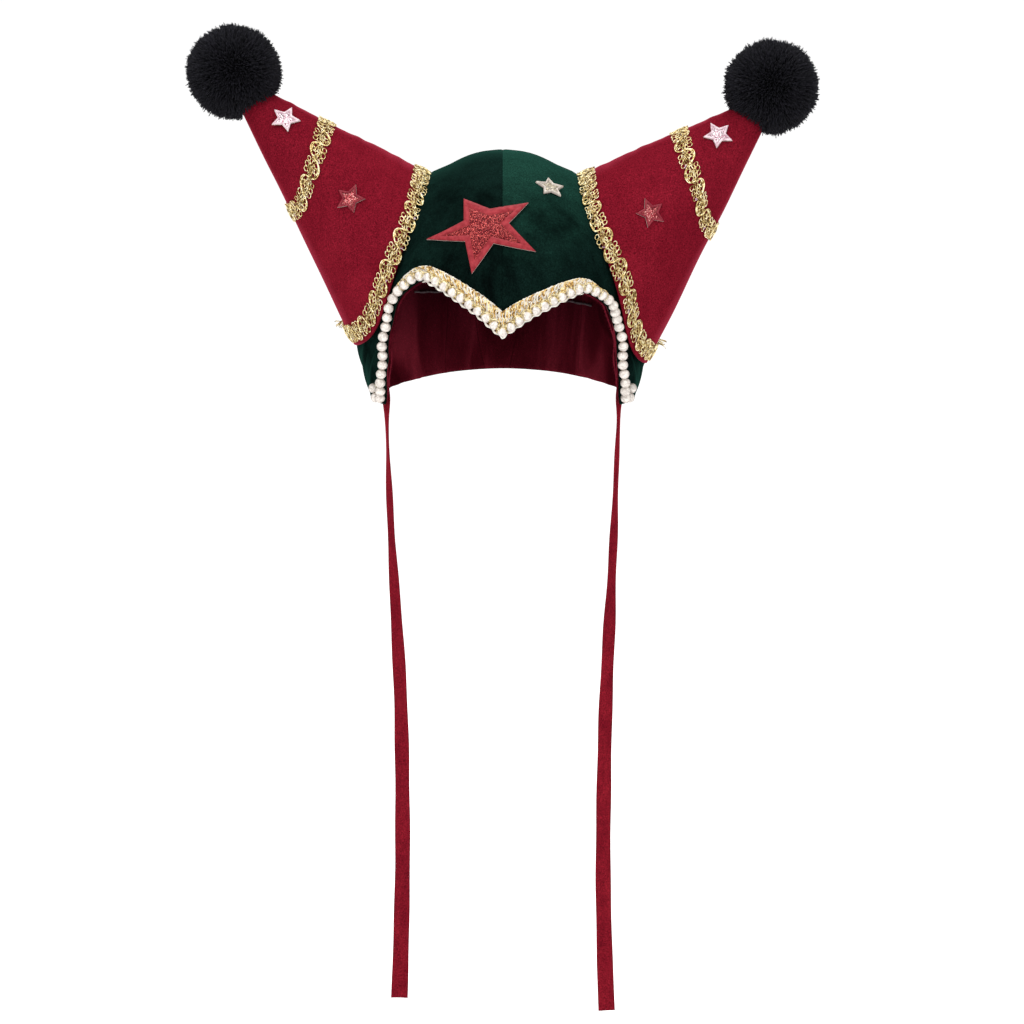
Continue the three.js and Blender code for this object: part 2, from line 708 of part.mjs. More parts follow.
function hornFront(horn, { along, across }) {
  const radius = along * Math.tan(horn.spread);
  const turn = Math.acos(across / radius);
  const step = 0.01;
  const place = hornPoint(horn, along, turn, 0);
  const outward = hornPoint(horn, along + step, turn, 0).sub(place)
    .cross(hornPoint(horn, along, turn + step, 0).sub(place)).normalize();
  return { place, normal: outward.y < 0 ? outward : outward.negate() };
}

function tie(side, length) {
  const inset = PANEL_WALL + LAYER_GAP + LINING_WALL + LAYER_GAP + TIE_THICKNESS / 2;
  const top = crownPoint(radians(TIE_TURN), liftAt(0), inset);
  const drops = new THREE.CatmullRomCurve3(
    TIE_ROUTE.map((row) => new THREE.Vector3(row.inward * TIE_SWAY, row.turn, -row.drop * length)),
  );
  const sections = Array.from({ length: TIE_STEPS + 1 }, (_, i) => {
    const route = drops.getPoint(i / TIE_STEPS);
    const centre = new THREE.Vector3(side * (top.x - route.x), top.y, TIE_SEWN + route.z);
    const wide = new THREE.Vector3(side * Math.cos(radians(route.y)), Math.sin(radians(route.y)), 0);
    const thick = new THREE.Vector3(-wide.y, wide.x, 0);
    return ribbonSection(centre, wide, thick);
  });
  return skin(sections, false);
}

// A flat section with thinner edges, eight points round
function ribbonSection(centre, wide, thick) {
  const corners = [[-1, 0.4], [-0.5, 1], [0.5, 1], [1, 0.4], [1, -0.4], [0.5, -1], [-0.5, -1], [-1, -0.4]];
  return corners.map(([across, deep]) => centre.clone()
    .addScaledVector(wide, (across * TIE_WIDTH) / 2)
    .addScaledVector(thick, (deep * TIE_THICKNESS) / 2));
}

function piece(name, geometry, material) {
  const mesh = new THREE.Mesh(geometry, MATERIALS[material]);
  mesh.name = name;
  return mesh;
}

function crownGroup() {
  const group = new THREE.Group();
  group.add(piece('crown_panel_left', crownPanel(-1), 'green_velvet'));
  group.add(piece('crown_panel_right', crownPanel(1), 'green_velvet'));
  group.add(piece('crown_lining', crownLining(), 'lining'));
  group.add(piece('lining_stay', liningStay(), 'grey_tape'));
  group.add(piece('pearl_braid', edgeBraid(), 'gold_braid'));
  group.add(piece('pearl_string', pearlString(), 'pearl'));
  group.add(piece('star_large', largeStar(), 'red_glitter'));
  const { x, z, spin } = FRONT_STAR_PLACE;
  const star = piece('star_front_small', smallStar(), 'silver_glitter');
  lay(star, crownFront(x, z, 0), crownNormal(x, z), spin);
  group.add(star);
  return group;
}

function hornGroup(row) {
  const group = new THREE.Group();
  const horn = hornFrame(row);
  group.add(piece(`horn_${row.name}`, hornShell(horn), 'red_velvet'));
  group.add(piece(`pompom_${row.name}`, pompom(horn), 'black_yarn'));
  group.add(piece(`braid_base_${row.name}`, hornBraid(horn, baseBraidAlong(horn)), 'gold_braid'));
  group.add(piece(`braid_mid_${row.name}`, hornBraid(horn, midBraidAlong(horn)), 'gold_braid'));
  const stars = [
    { name: 'star_silver', place: SILVER_STAR_PLACE, material: 'silver_glitter' },
    { name: 'star_red', place: RED_STAR_PLACE, material: 'red_glitter' },
  ];
  for (const { name, place, material } of stars) {
    const star = piece(`${name}_${row.name}`, smallStar(), material);
    const seat = hornFront(horn, place);
    lay(star, seat.place, seat.normal, place.spin[row.name]);
    group.add(star);
  }
  group.add(piece(`tie_${row.name}`, tie(row.side, TIE_LENGTHS[row.name]), 'red_velvet'));
  return group;
}

const hat = new THREE.Group();
hat.name = 'jester_hat';
hat.add(crownGroup(), ...HORNS.map(hornGroup));

export default hat;
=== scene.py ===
"""Looks of the jester hat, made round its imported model.

Shapes are worked out in millimetres from the sizes that the model has, and go to Blender in
metres. The hat hangs by its head opening, with its front along -Y. The opening's rim is at zero.
"""
import math

import bmesh
import bpy
import numpy as np
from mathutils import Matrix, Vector

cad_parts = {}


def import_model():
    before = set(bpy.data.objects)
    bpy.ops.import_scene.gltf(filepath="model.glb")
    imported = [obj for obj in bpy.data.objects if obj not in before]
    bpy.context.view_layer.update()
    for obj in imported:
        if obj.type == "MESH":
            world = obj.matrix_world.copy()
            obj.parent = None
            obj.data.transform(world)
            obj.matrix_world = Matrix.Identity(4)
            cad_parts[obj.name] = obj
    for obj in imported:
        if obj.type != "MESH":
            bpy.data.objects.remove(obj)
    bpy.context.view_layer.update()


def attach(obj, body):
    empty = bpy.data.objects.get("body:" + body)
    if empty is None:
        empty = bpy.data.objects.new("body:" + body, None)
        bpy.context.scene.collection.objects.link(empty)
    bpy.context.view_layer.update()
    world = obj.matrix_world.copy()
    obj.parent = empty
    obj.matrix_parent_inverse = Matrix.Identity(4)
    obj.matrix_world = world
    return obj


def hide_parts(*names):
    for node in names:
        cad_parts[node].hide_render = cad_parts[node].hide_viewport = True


MM = 0.001
TAU = 2 * math.pi
RNG = np.random.default_rng(11)

# Camera: how far it looks down, what it looks at in metres, its distance and its lens
CAMERA_ELEVATION = 11.0
CAMERA_TARGET = Vector((0.0053, 0.0, -0.069))
CAMERA_DISTANCE = 2.0
CAMERA_LENS = 119.53
FLOOR_HEIGHT = -0.44
FLOOR_REACH = 40.0

# Lights: name, place, what it aims at, size and power
LIGHTS = (
    ("key", (-1.1, -1.6, 1.7), (0, 0, 0), 1.4, 34),
    ("fill", (1.5, -1.5, 0.9), (0, 0, 0), 1.6, 16),
    ("top", (0.1, 0.5, 1.9), (0, 0, 0.05), 1.2, 22),
)

# Crown
CROWN_HALF_WIDTH = 88.0
CROWN_HALF_DEPTH = 98.0
SIDE_HEIGHT = 55.0
DOME_HEIGHT = 88.0
RIM_TAPER = 0.115
BACK_RIM_RISE = 4.0
BACK_RISE_START = 110.0
SLUMP_DEPTH = 2.2
SLUMP_PLACE = 36.0
SLUMP_SPREAD = 15.0
SLUMP_HEIGHTS = (100.0, 128.0)
PANEL_WALL = 2.0
PANEL_ROWS = 80
INNER_PANEL_STEP = 4
LINING_ROWS = 54
LAYER_GAP = 0.3
LINING_WALL = 1.0
LINING_SETBACK = 1.2
BACK_LINING_SETBACK = 0.2
# Folds at the lining's sides: turn and spread in degrees, and depth
LINING_FOLDS = ((70, 4, 1.2), (84, 6, 2.4), (97, 3.5, 1.2), (108, 7, 3.5), (121, 4, 1.4), (132, 6, 2.1))
# Creases down the lining's back: place across and depth
LINING_CREASES = ((-55, 1.2), (-36, 1.6), (-17, 2.0), (-8, 0.7), (12, 1.0), (31, 1.6), (54, 1.3))
CREASE_WIDTH = 1.6

# Tape across the inside of the back
STAY_TURN = math.radians(40)
STAY_HEIGHT = 48.0
STAY_RISE = 4.0
STAY_INSET = 1.4
STAY_HALF_WIDTH = 0.6
STAY_THICKNESS = 0.6

# Face opening: shares of the corner's turn and of the brow's height
CORNER_TURN = 60.5
BROW_HEIGHT = 78.4
OPENING_EDGE = (
    (0, 0.64), (0.16, 0.8), (0.33, 0.925), (0.46, 0.993), (0.54, 0.995),
    (0.63, 0.93), (0.695, 0.855), (0.735, 0.76), (0.77, 0.655), (0.8, 0.54),
    (0.83, 0.42), (0.865, 0.3), (0.905, 0.185), (0.945, 0.1), (1, 0.03),
)
CORNER_HEIGHT = OPENING_EDGE[-1][1] * BROW_HEIGHT
CORNER_FALL_END = 90.0
BROW_MIDDLE = OPENING_EDGE[0][1] * BROW_HEIGHT
RIGHT_ARCH_SHARE = 0.77
EDGE_RADIUS = (CROWN_HALF_WIDTH + CROWN_HALF_DEPTH) / 2

# Horns
HORN_OVERHANG = 74.0
HORN_RISE = 130.0
HORN_TILT = 44.8
HORN_SPREAD = 19.6
HORN_TRIM_GAP = 0.6
# A horn's depth grows by these steps, as a share of its height
DEPTH_STEPS = (0.02, 0.002)
DEEPEST = 2.0
SEARCH_STEPS = 34
TRIM_TURNS = 84
HORN_WALL = 2.0
HORN_TIP = 18.0
HORN_TIP_CAP = 4.0
# The velvet stands fuller by a share of the radius, at an angle from the ridge
HORN_FULLNESS = {-1: 0.012, 1: 0.05}
FULL_AT = math.radians(58)
FULL_SPREAD = math.radians(30)
SEAT_GAP = 0.6
HORN_COUNT = (180, 100)
INNER_HORN_STEP = 3
# Side, and shares of the rise, tilt and spread
HORNS = {"left": (-1, 1.045, 1.022, 0.963), "right": (1, 0.965, 0.979, 1.036)}

# Pompoms
POMPOM_RADIUS = 27.5
POMPOM_ALONG = 6.0
POMPOM_LIFT = 5.0
POMPOM_SAG = {-1: 1.6, 1: 0.0}
YARN_STRANDS = 11500
YARN_SIDES = 3
YARN_ROOT = 0.6
YARN_BEND = 0.84
CORE_SHARE = 0.8

# Braid
THREAD_WRAP = 0.42
BRAID_WIDTH = 11.0
BRAID_HEIGHT = 2.1
BRAID_PITCH = 19.5
BRAID_SCALLOP = 0.9
BASE_BRAID_SETBACK = 7.5
TOP_BRAID_SHIFT = 6.0
MID_BRAID_SHARE = 0.52
WHISKERS = 14
BRAID_TURNS = np.linspace(0, TAU, 721)
# The gimp's double cord: swing to each side, height and radius
GIMP_CORDS = ((5.15, 1.0, 0.36), (4.3, 0.95, 0.29))
# Curls of the gimp for a lobe: place along and across from its middle, and half sizes
SCROLLS = (
    (-2.3, 2.2, 1.2, 1.4), (2.3, 2.2, 1.2, 1.4), (0.0, 2.9, 1.0, 1.0), (-0.8, 0.9, 1.3, 0.7),
    (-2.9, -3.7, 1.25, 1.35), (0.0, -3.8, 1.3, 1.4), (2.9, -3.7, 1.25, 1.35),
    (-2.4, -1.7, 1.3, 1.0), (0.3, -1.9, 1.2, 1.0), (2.6, -1.6, 1.3, 1.0),
    (-4.6, 0.7, 1.0, 1.2), (4.6, 0.7, 1.0, 1.2), (1.2, 0.2, 1.1, 0.9),
)

# Pearls and the brow's braid: the ends are distances round the crown from the middle
BROW_END = 66.0
ARCH_END = 92.0
EDGE_CORD_END = 50.0
HEM_END = 14.0
BUMP_PITCH = 2.3
PEARL_RADIUS = 2.7
PEARL_LOOK_RADIUS = 2.9
PEARL_SEGMENTS = (24, 14)
PEARL_PITCH = 5.9
# Turns of gold thread round a pearl: radius and height over its middle
BROW_RINGS = ((3.05, 1.0), (2.95, -0.4), (2.4, 1.9))
SIDE_RINGS = ((2.9, -0.4),)
PEARL_SETBACK = 1.5
PEARL_FOLD = 6.0
BROW_WIDTH = 5.3
BROW_NARROW = 1.2
BROW_TAPER = (0.05, 0.58)
CURLS_START = 0.17
CURLED_SHARE = 0.66
# Rows of curls on the brow: where the first and the last lie across it, their count, pitch and radius
GOLD_CURLS = (0.0, 0.88, 6, 1.9, 0.33)
WHITE_CURLS = (0.1, 0.85, 4, 2.2, 0.42)

# Stars
STAR_REACH = 32.5
STAR_PLACE = (-10.0, 106.5)
# Angle in degrees and share of the reach
STAR_CORNERS = (
    (129, 0.56), (71, 0.3), (27, 0.84), (9, 0.42), (-24, 0.95),
    (-57, 0.29), (-106, 0.76), (-146, 0.39), (-167, 1), (-196, 0.36),
)
STAR_BORDER = 3.2
STAR_THICKNESS = 1.0
SMALL_STAR_BORDER = 1.3
SMALL_STAR_THICKNESS = 0.9
STAR_EDGE_STEPS = 12
SHARPEST_MITRE = 0.35
PUFF_RINGS = 14
# Across the border, from its inner edge to its outer one: share and height
BORDER_RISE = ((0.12, 0.25), (0.3, 0.6), (0.55, 0.7), (0.8, 0.55), (0.95, 0.2))
SMALL_STAR_REACH = 8.8
SMALL_STAR_WAIST = 0.5
# Place seen from the front, and spin in degrees
FRONT_STAR = (27.0, 127.0, -3.0)
# Places on a horn: distance from its apex and up from its axis
SILVER_STAR = (47.0, 7.4)
RED_STAR = (104.0, 5.0)
STAR_SPINS = {"silver": {"left": -10.0, "right": -26.0}, "red": {"left": 1.0, "right": -36.0}}

# Ties: drop as a share of the length, inward as a share of the sway, and turn in degrees
TIE_WIDTH = 10.0
TIE_THICKNESS = 1.0
TIE_SEWN = 12.0
TIE_TURN = 65.0
TIE_SWAY = 8.0
TIE_LENGTHS = {"left": 368.0, "right": 376.0}
TIE_ROUTE = (
    (0, -0.1, 62), (0.02, 0, 64), (0.06, 0.06, 79), (0.14, 0.2, 73), (0.22, 0.36, 65),
    (0.3, 0.55, 58), (0.38, 0.72, 45), (0.46, 0.87, 40), (0.54, 0.96, 35), (0.67, 1, 30),
    (0.79, 0.99, 26), (0.92, 0.86, 18), (1, 0.72, 6),
)
# A ribbon's section: place across as a share of its half width, and half of its thickness there
TIE_SECTION = (
    (-1, 0.16), (-0.97, 0.34), (-0.88, 0.4), (-0.6, 0.5), (-0.2, 0.5),
    (0.2, 0.5), (0.6, 0.5), (0.88, 0.4), (0.97, 0.34), (1, 0.16),
)


# Numbers and curves

def unit(v):
    return v / np.maximum(np.linalg.norm(v, axis=-1, keepdims=True), 1e-12)


def smoothstep(low, high, x):
    t = np.clip((x - low) / (high - low), 0, 1)
    return t * t * (3 - 2 * t)


def catmull_rom(points, samples):
    """A smooth line through the points, with samples points for each stretch."""
    p = np.asarray(points, float)
    padded = np.vstack([p[0], p, p[-1]])
    t = np.linspace(0, 1, samples, endpoint=False)[:, None]
    rows = []
    for i in range(len(p) - 1):
        a, b, c, d = padded[i:i + 4]
        v0, v1 = (c - a) / 2, (d - b) / 2
        rows.append((2 * b - 2 * c + v0 + v1) * t**3 + (-3 * b + 3 * c - 2 * v0 - v1) * t**2 + v0 * t + b)
    return np.vstack(rows + [p[-1:]])


def spaced(line, count):
    """count + 1 points evenly spaced along a line."""
    steps = np.linalg.norm(np.diff(line, axis=0), axis=1)
    length = np.concatenate([[0], np.cumsum(steps)])
    at = np.linspace(0, length[-1], count + 1)
    return np.stack([np.interp(at, length, line[:, k]) for k in range(line.shape[1])], 1)


def line_length(line):
    return float(np.linalg.norm(np.diff(line, axis=0), axis=1).sum())


# Crown surface

def crown_point(turn, lift, out):
    """turn runs from the front round to the back, lift from the rim (-1) to the top (1)."""
    turn, lift = np.broadcast_arrays(np.asarray(turn, float), np.asarray(lift, float))
    angle = np.maximum(lift, 0) * math.pi / 2
    scale = np.cos(angle) - RIM_TAPER * np.minimum(lift, 0) ** 2
    return np.stack([
        (CROWN_HALF_WIDTH + out) * scale * np.sin(turn),
        -(CROWN_HALF_DEPTH + out) * scale * np.cos(turn),
        SIDE_HEIGHT * (1 + np.minimum(lift, 0)) + (DOME_HEIGHT + out) * np.sin(angle),
    ], -1)


def lift_at(height):
    height = np.asarray(height, float)
    climb = np.minimum((height - SIDE_HEIGHT) / DOME_HEIGHT, 1)
    return np.where(climb < 0, height / SIDE_HEIGHT - 1, np.arcsin(np.maximum(climb, 0)) * 2 / math.pi)


def crown_reach(point, clearance):
    """Above zero outside the crown."""
    z = point[..., 2]
    climb = np.minimum((z - SIDE_HEIGHT) / (DOME_HEIGHT + clearance), 1)
    low = 1 - RIM_TAPER * (1 - z / SIDE_HEIGHT) ** 2
    scale = np.where(climb < 0, low, np.sqrt(np.maximum(1 - climb**2, 0)))
    across = point[..., 0] / (CROWN_HALF_WIDTH + clearance)
    ahead = point[..., 1] / (CROWN_HALF_DEPTH + clearance)
    return np.hypot(across, ahead) - scale


def crown_dent(turn, lift):
    """How far the velvet stands out of the plain crown: soft waves, seam grooves and gathers."""
    p = crown_point(turn, lift, 0.0)
    x, y, z = p[..., 0], p[..., 1], p[..., 2]
    waves = 0.4 * np.sin(x / 13 + 0.8 * np.sin(z / 17)) * np.sin(z / 19 + y / 31)
    waves += 0.25 * np.sin(x / 21 + z / 16) - shoulder_slump(x, z)
    seam = -0.3 * np.exp(-((x / 0.8) ** 2)) + 0.25 * np.exp(-((x / 5) ** 2))
    pulls = 0
    for horn in HORN_FRAMES.values():
        away = np.maximum(horn_distance(horn, p), 0)
        gathers = 0.35 * np.sin(z / 2.6 + y / 3.1) * np.exp(-((away / 9) ** 2))
        pulls = pulls - 0.9 * np.exp(-((away / 3.2) ** 2)) + gathers
    return (waves + pulls) * smoothstep(1, 0.9, lift) + seam


def shoulder_slump(x, z):
    """The dome lies lower between its top and the horns."""
    away = (np.abs(x) - SLUMP_PLACE) / SLUMP_SPREAD
    return SLUMP_DEPTH * np.exp(-(away**2)) * smoothstep(*SLUMP_HEIGHTS, z)


def crown_surface(turn, lift, out):
    """The velvet's surface as it lies, moved out."""
    plain = crown_point(turn, lift, 0.0)
    away = crown_point(turn, lift, 1.0) - plain
    return plain + away * (crown_dent(turn, lift) + out)[..., None]


def lifted_off_crown(point, height):
    """Puts a point that would lie inside the crown at a height over its velvet."""
    x, y, z = point[..., 0], point[..., 1], point[..., 2]
    climb = np.arctan2((z - SIDE_HEIGHT) / DOME_HEIGHT, np.hypot(x / CROWN_HALF_WIDTH, y / CROWN_HALF_DEPTH))
    lift = np.where(z > SIDE_HEIGHT, climb * 2 / math.pi, z / SIDE_HEIGHT - 1)
    turn = np.arctan2(x / CROWN_HALF_WIDTH, -y / CROWN_HALF_DEPTH)
    raised = crown_surface(turn, lift, height)
    inside = crown_reach(point, height + crown_dent(turn, lift)) < 0
    return np.where(inside[..., None], raised, point)


def front_place(x, z):
    """Turn and lift of a place on the crown seen from the front."""
    lift = lift_at(z)
    angle = np.maximum(lift, 0) * math.pi / 2
    scale = np.cos(angle) - RIM_TAPER * np.minimum(lift, 0) ** 2
    return np.arcsin(np.clip(x / (CROWN_HALF_WIDTH * scale), -1, 1)), lift


# Edge of the fabric, laid out flat: distance round the crown and height

def opening_edge():
    flat = [(math.radians(turn * CORNER_TURN) * EDGE_RADIUS, height * BROW_HEIGHT)
            for turn, height in OPENING_EDGE]
    return catmull_rom(flat, 24)


def moved_edge(distance_at, lowest):
    """The opening's edge moved into the fabric, on the right half."""
    edge = spaced(opening_edge(), 240)
    share = np.linspace(0, 1, len(edge))
    tangent = unit(np.gradient(edge, axis=0))
    distance = distance_at(share)
    moved = edge + np.stack([-tangent[:, 1], tangent[:, 0]], 1) * distance[:, None]
    first = int(np.argmax(moved[:, 0] > 0))
    kept = moved[first:]
    a, b = kept[0], kept[1]
    middle = np.array([0, a[1] - a[0] * (b[1] - a[1]) / (b[0] - a[0])])
    clear = kept[(kept[:, 0] > 1e-3) & (kept[:, 1] > lowest)]
    return np.vstack([middle, clear])


def even(value):
    return lambda share: np.full_like(share, value)


def on_crown(flat, out):
    flat = np.asarray(flat, float)
    return crown_surface(flat[..., 0] / EDGE_RADIUS, lift_at(flat[..., 1]), np.zeros(flat.shape[:-1]) + out)


def crown_out(flat):
    """The direction out of the crown at places on the flat cloth."""
    return unit(on_crown(flat, 5.0) - on_crown(flat, 0.0))


def mirrored(right):
    """Both halves of a line along the opening. The right arch of the brow is sewn lower."""
    left = right[1:][::-1] * np.array([-1, 1])
    return np.vstack([left, right_arch(right)])


def right_arch(flat):
    """Lowers the right arch, and all that lies over it by as much."""
    edge = opening_edge()
    rise = edge[:int(np.argmax(edge[:, 1])) + 1]
    limit = np.interp(flat[:, 0], rise[:, 0], rise[:, 1])
    over = np.maximum(np.minimum(flat[:, 1], limit) - BROW_MIDDLE, 0) * (1 - RIGHT_ARCH_SHARE)
    near = smoothstep(ARCH_END, ARCH_END - 22, flat[:, 0])
    return np.stack([flat[:, 0], flat[:, 1] - over * near], 1)


def rim_height(turn):
    fallen = smoothstep(math.radians(CORNER_TURN), math.radians(CORNER_FALL_END), turn)
    risen = smoothstep(math.radians(BACK_RISE_START), math.pi, turn)
    return CORNER_HEIGHT * (1 - fallen) + BACK_RIM_RISE * risen


def edge_stations(side, front, back):
    """Turns and heights along the fabric's edge on one side, from the front to the back."""
    opening = spaced(opening_edge(), front)
    if side > 0:
        opening = right_arch(opening)
    corner = math.radians(CORNER_TURN)
    turn = corner + (math.pi - corner) * np.arange(1, back + 1) / back
    turns = np.concatenate([opening[:, 0] / EDGE_RADIUS, turn])
    return turns, np.concatenate([opening[:, 1], rim_height(turn)])


def pearl_flat_places():
    lowest = CORNER_HEIGHT + PEARL_RADIUS
    edge = moved_edge(even(PEARL_SETBACK), lowest)
    corner = edge[-1][0]
    fold = np.array([
        (corner + PEARL_FOLD / 2, lowest),
        (corner + PEARL_FOLD, lowest + PEARL_FOLD / 2),
        (corner + PEARL_FOLD, lowest + PEARL_FOLD),
    ])
    path = catmull_rom(np.vstack([spaced(edge, 120), fold]), 4)
    return spaced(path, round(line_length(path) / PEARL_PITCH))


# Horns

def from_ridge(turn):
    """How far round its section a place lies from the horn's upper ridge, either way."""
    return np.abs(np.mod(turn + math.pi, TAU) - math.pi)


class Horn:
    def __init__(self, side, rise, tilt, spread):
        lean = math.radians(HORN_TILT * tilt)
        self.side = side
        self.apex = np.array([side * (CROWN_HALF_WIDTH + HORN_OVERHANG), 0, SIDE_HEIGHT + HORN_RISE * rise])
        self.axis = np.array([-side * math.cos(lean), 0, -math.sin(lean)])
        self.up = np.array([-side * math.sin(lean), 0, math.cos(lean)])
        self.spread = math.radians(HORN_SPREAD * spread)
        self.depth = 1.0
        self.fullness = 0.0

    def radius(self, along, turn):
        """Radius of the cone's section, a little fuller between its ridge and its middle."""
        swell = np.exp(-((from_ridge(turn) - FULL_AT) / FULL_SPREAD) ** 2)
        return along * math.tan(self.spread) * (1 + self.fullness * swell)


def horn_point(horn, along, turn, out):
    along, turn = np.broadcast_arrays(np.asarray(along, float), np.asarray(turn, float))
    radius = horn.radius(along, turn)
    skin_out = out / math.cos(horn.spread)
    up = ((radius + skin_out) * np.cos(turn))[..., None]
    front = ((radius * horn.depth + skin_out) * np.sin(turn))[..., None]
    return horn.apex + horn.axis * along[..., None] + horn.up * up + np.array([0, -1.0, 0]) * front


def horn_distance(horn, p):
    """About how far a point lies outside a horn's surface."""
    v = p - horn.apex
    along, up = v @ horn.axis, v @ horn.up
    radius = np.maximum(horn.radius(along, np.arctan2(np.abs(v[..., 1]) / horn.depth, up)), 1e-6)
    ratio = np.hypot(up / radius, v[..., 1] / (radius * horn.depth))
    return (ratio - 1) * radius


def seat_along(horn, turn, out):
    """Distance from the apex at which the horn's surface meets the crown."""
    turn = np.asarray(turn, float)
    low = np.full(turn.shape, HORN_TIP)
    high = np.full(turn.shape, 2 * (CROWN_HALF_WIDTH + HORN_OVERHANG))
    for _ in range(SEARCH_STEPS):
        third = (high - low) / 3
        a = crown_reach(horn_point(horn, low + third, turn, out), SEAT_GAP)
        b = crown_reach(horn_point(horn, high - third, turn, out), SEAT_GAP)
        low, high = np.where(a < b, low, low + third), np.where(a < b, high - third, high)
    low = np.full(turn.shape, HORN_TIP)
    for _ in range(SEARCH_STEPS):
        middle = (low + high) / 2
        outside = crown_reach(horn_point(horn, middle, turn, out), SEAT_GAP) > 0
        low, high = np.where(outside, middle, low), np.where(outside, high, middle)
    return low


def trim_clearance(horn, pearls):
    """How far a horn's seam and its base braid stay from the trim round the face."""
    turns = TAU * np.arange(TRIM_TURNS) / TRIM_TURNS
    seat = seat_along(horn, turns, 0.0)
    setback = BASE_BRAID_SETBACK - BRAID_WIDTH / 2 - BRAID_SCALLOP
    seam = horn_point(horn, seat, turns, 0.0)
    braid = horn_point(horn, seat - setback, turns, BRAID_HEIGHT)
    line = np.vstack([seam, braid])
    nearest = np.linalg.norm(line[:, None] - pearls[None], axis=-1).min()
    return nearest - PEARL_RADIUS - LAYER_GAP - BROW_NARROW


def fit_depth(horn):
    """Makes a horn as deep as it can be before its seam reaches the trim."""
    flat = pearl_flat_places() * np.array([horn.side, 1])
    pearls = crown_point(flat[:, 0] / EDGE_RADIUS, lift_at(flat[:, 1]), LAYER_GAP + PEARL_RADIUS)
    for step in DEPTH_STEPS:
        while horn.depth < DEEPEST:
            horn.depth += step
            if trim_clearance(horn, pearls) <= HORN_TRIM_GAP:
                horn.depth -= step
                break
    horn.fullness = HORN_FULLNESS[horn.side]
    return horn


def horn_dent(horn, along, turn):
    """Soft hollows and ripples of the horn's velvet, none at its tip."""
    fade = smoothstep(30, 70, along)
    ripples = 0.45 * np.sin(2 * turn + along / 24 + horn.side) * np.sin(along / 15)
    ripples += 0.2 * np.sin(5 * turn + along / 11)
    ridge = np.exp(-((np.sin(turn / 2) * 9) ** 2))
    return fade * ripples + ridge * (0.18 * np.sin(along / 2.1) + 0.12 * np.sin(along / 1.3))


def horn_surface(horn, along, turn, out):
    along, turn = np.broadcast_arrays(np.asarray(along, float), np.asarray(turn, float))
    plain = horn_point(horn, along, turn, 0.0)
    away = horn_point(horn, along, turn, 1.0) - plain
    return plain + away * (horn_dent(horn, along, turn) + out)[..., None]


HORN_FRAMES = {name: fit_depth(Horn(*row)) for name, row in HORNS.items()}


# Meshes

def add_object(name, verts, faces, material, slot, smooth=True):
    mesh = bpy.data.meshes.new(name)
    mesh.from_pydata((np.asarray(verts) * MM).tolist(), [], faces)
    mesh.materials.append(material)
    if smooth:
        mesh.shade_smooth()
    obj = bpy.data.objects.new(name, mesh)
    bpy.context.scene.collection.objects.link(obj)
    return obj


def weld(obj):
    """Joins points that lie together and turns every face out."""
    mesh = bmesh.new()
    mesh.from_mesh(obj.data)
    bmesh.ops.remove_doubles(mesh, verts=mesh.verts, dist=2e-6)
    bmesh.ops.recalc_face_normals(mesh, faces=mesh.faces)
    mesh.to_mesh(obj.data)
    mesh.free()
    return obj


def ring_faces(rows, size, closed):
    """Quads that join a row of rings; the ends of an open row are capped by strips."""
    spans = rows if closed else rows - 1
    i = np.arange(spans)[:, None] * size
    n = ((np.arange(spans)[:, None] + 1) % rows) * size
    j = np.arange(size)[None, :]
    k = (j + 1) % size
    quads = np.stack([i + j, n + j, n + k, i + k], -1).reshape(-1, 4).tolist()
    if not closed:
        last = (rows - 1) * size
        for a in range(size // 2 - 1):
            b = size - 1 - a
            quads.append([a, a + 1, b - 1, b])
            quads.append([last + a, last + b, last + b - 1, last + a + 1])
    return quads


def skin(name, sections, closed, material, slot):
    rows, size = sections.shape[:2]
    faces = ring_faces(rows, size, closed)
    return weld(add_object(name, sections.reshape(-1, 3), faces, material, slot))


class Tubes:
    """Many thin tubes gathered into one mesh, with each one's length kept for its wrapping."""

    def __init__(self):
        self.verts, self.faces, self.wraps, self.count = [], [], [], 0

    def add(self, path, normal, radius, sides=5, closed=False):
        path = np.asarray(path, float)
        if closed:
            tangent = unit(np.roll(path, -1, 0) - np.roll(path, 1, 0))
        else:
            tangent = unit(np.gradient(path, axis=0))
        across = unit(np.cross(tangent, normal))
        above = np.cross(across, tangent)
        angle = TAU * np.arange(sides) / sides
        radius = np.broadcast_to(np.asarray(radius, float), (len(path),))[:, None, None]
        ring = np.cos(angle)[None, :, None] * across[:, None] + np.sin(angle)[None, :, None] * above[:, None]
        rows = len(path)
        self.verts.append((path[:, None] + ring * radius).reshape(-1, 3))
        faces = ring_faces(rows, sides, closed)
        if not closed:
            faces = faces[:(rows - 1) * sides]
            faces.append(list(range(sides))[::-1])
            faces.append(list(range((rows - 1) * sides, rows * sides)))
        self.faces.extend([[v + self.count for v in face] for face in faces])
        steps = np.linalg.norm(np.diff(path, axis=0), axis=1)
        self.wraps.append(np.repeat(np.concatenate([[0], np.cumsum(steps)]), sides))
        self.count += rows * sides

    def build(self, name, material, slot):
        obj = add_object(name, np.vstack(self.verts), self.faces, material, slot)
        wrap = obj.data.attributes.new("wrap", "FLOAT", "POINT")
        wrap.data.foreach_set("value", np.concatenate(self.wraps).astype(np.float32))
        return obj


def show(obj, *nodes):
    """Rides a finished piece on the hat, in place of the model's nodes that it stands for."""
    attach(obj, "root")
    if nodes:
        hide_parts(*nodes)
    return obj


# Materials: colours are linear, and a noise's scale is its count in a metre

PILE_SCALE = 1300
BLOTCH_SHARE = 0.35


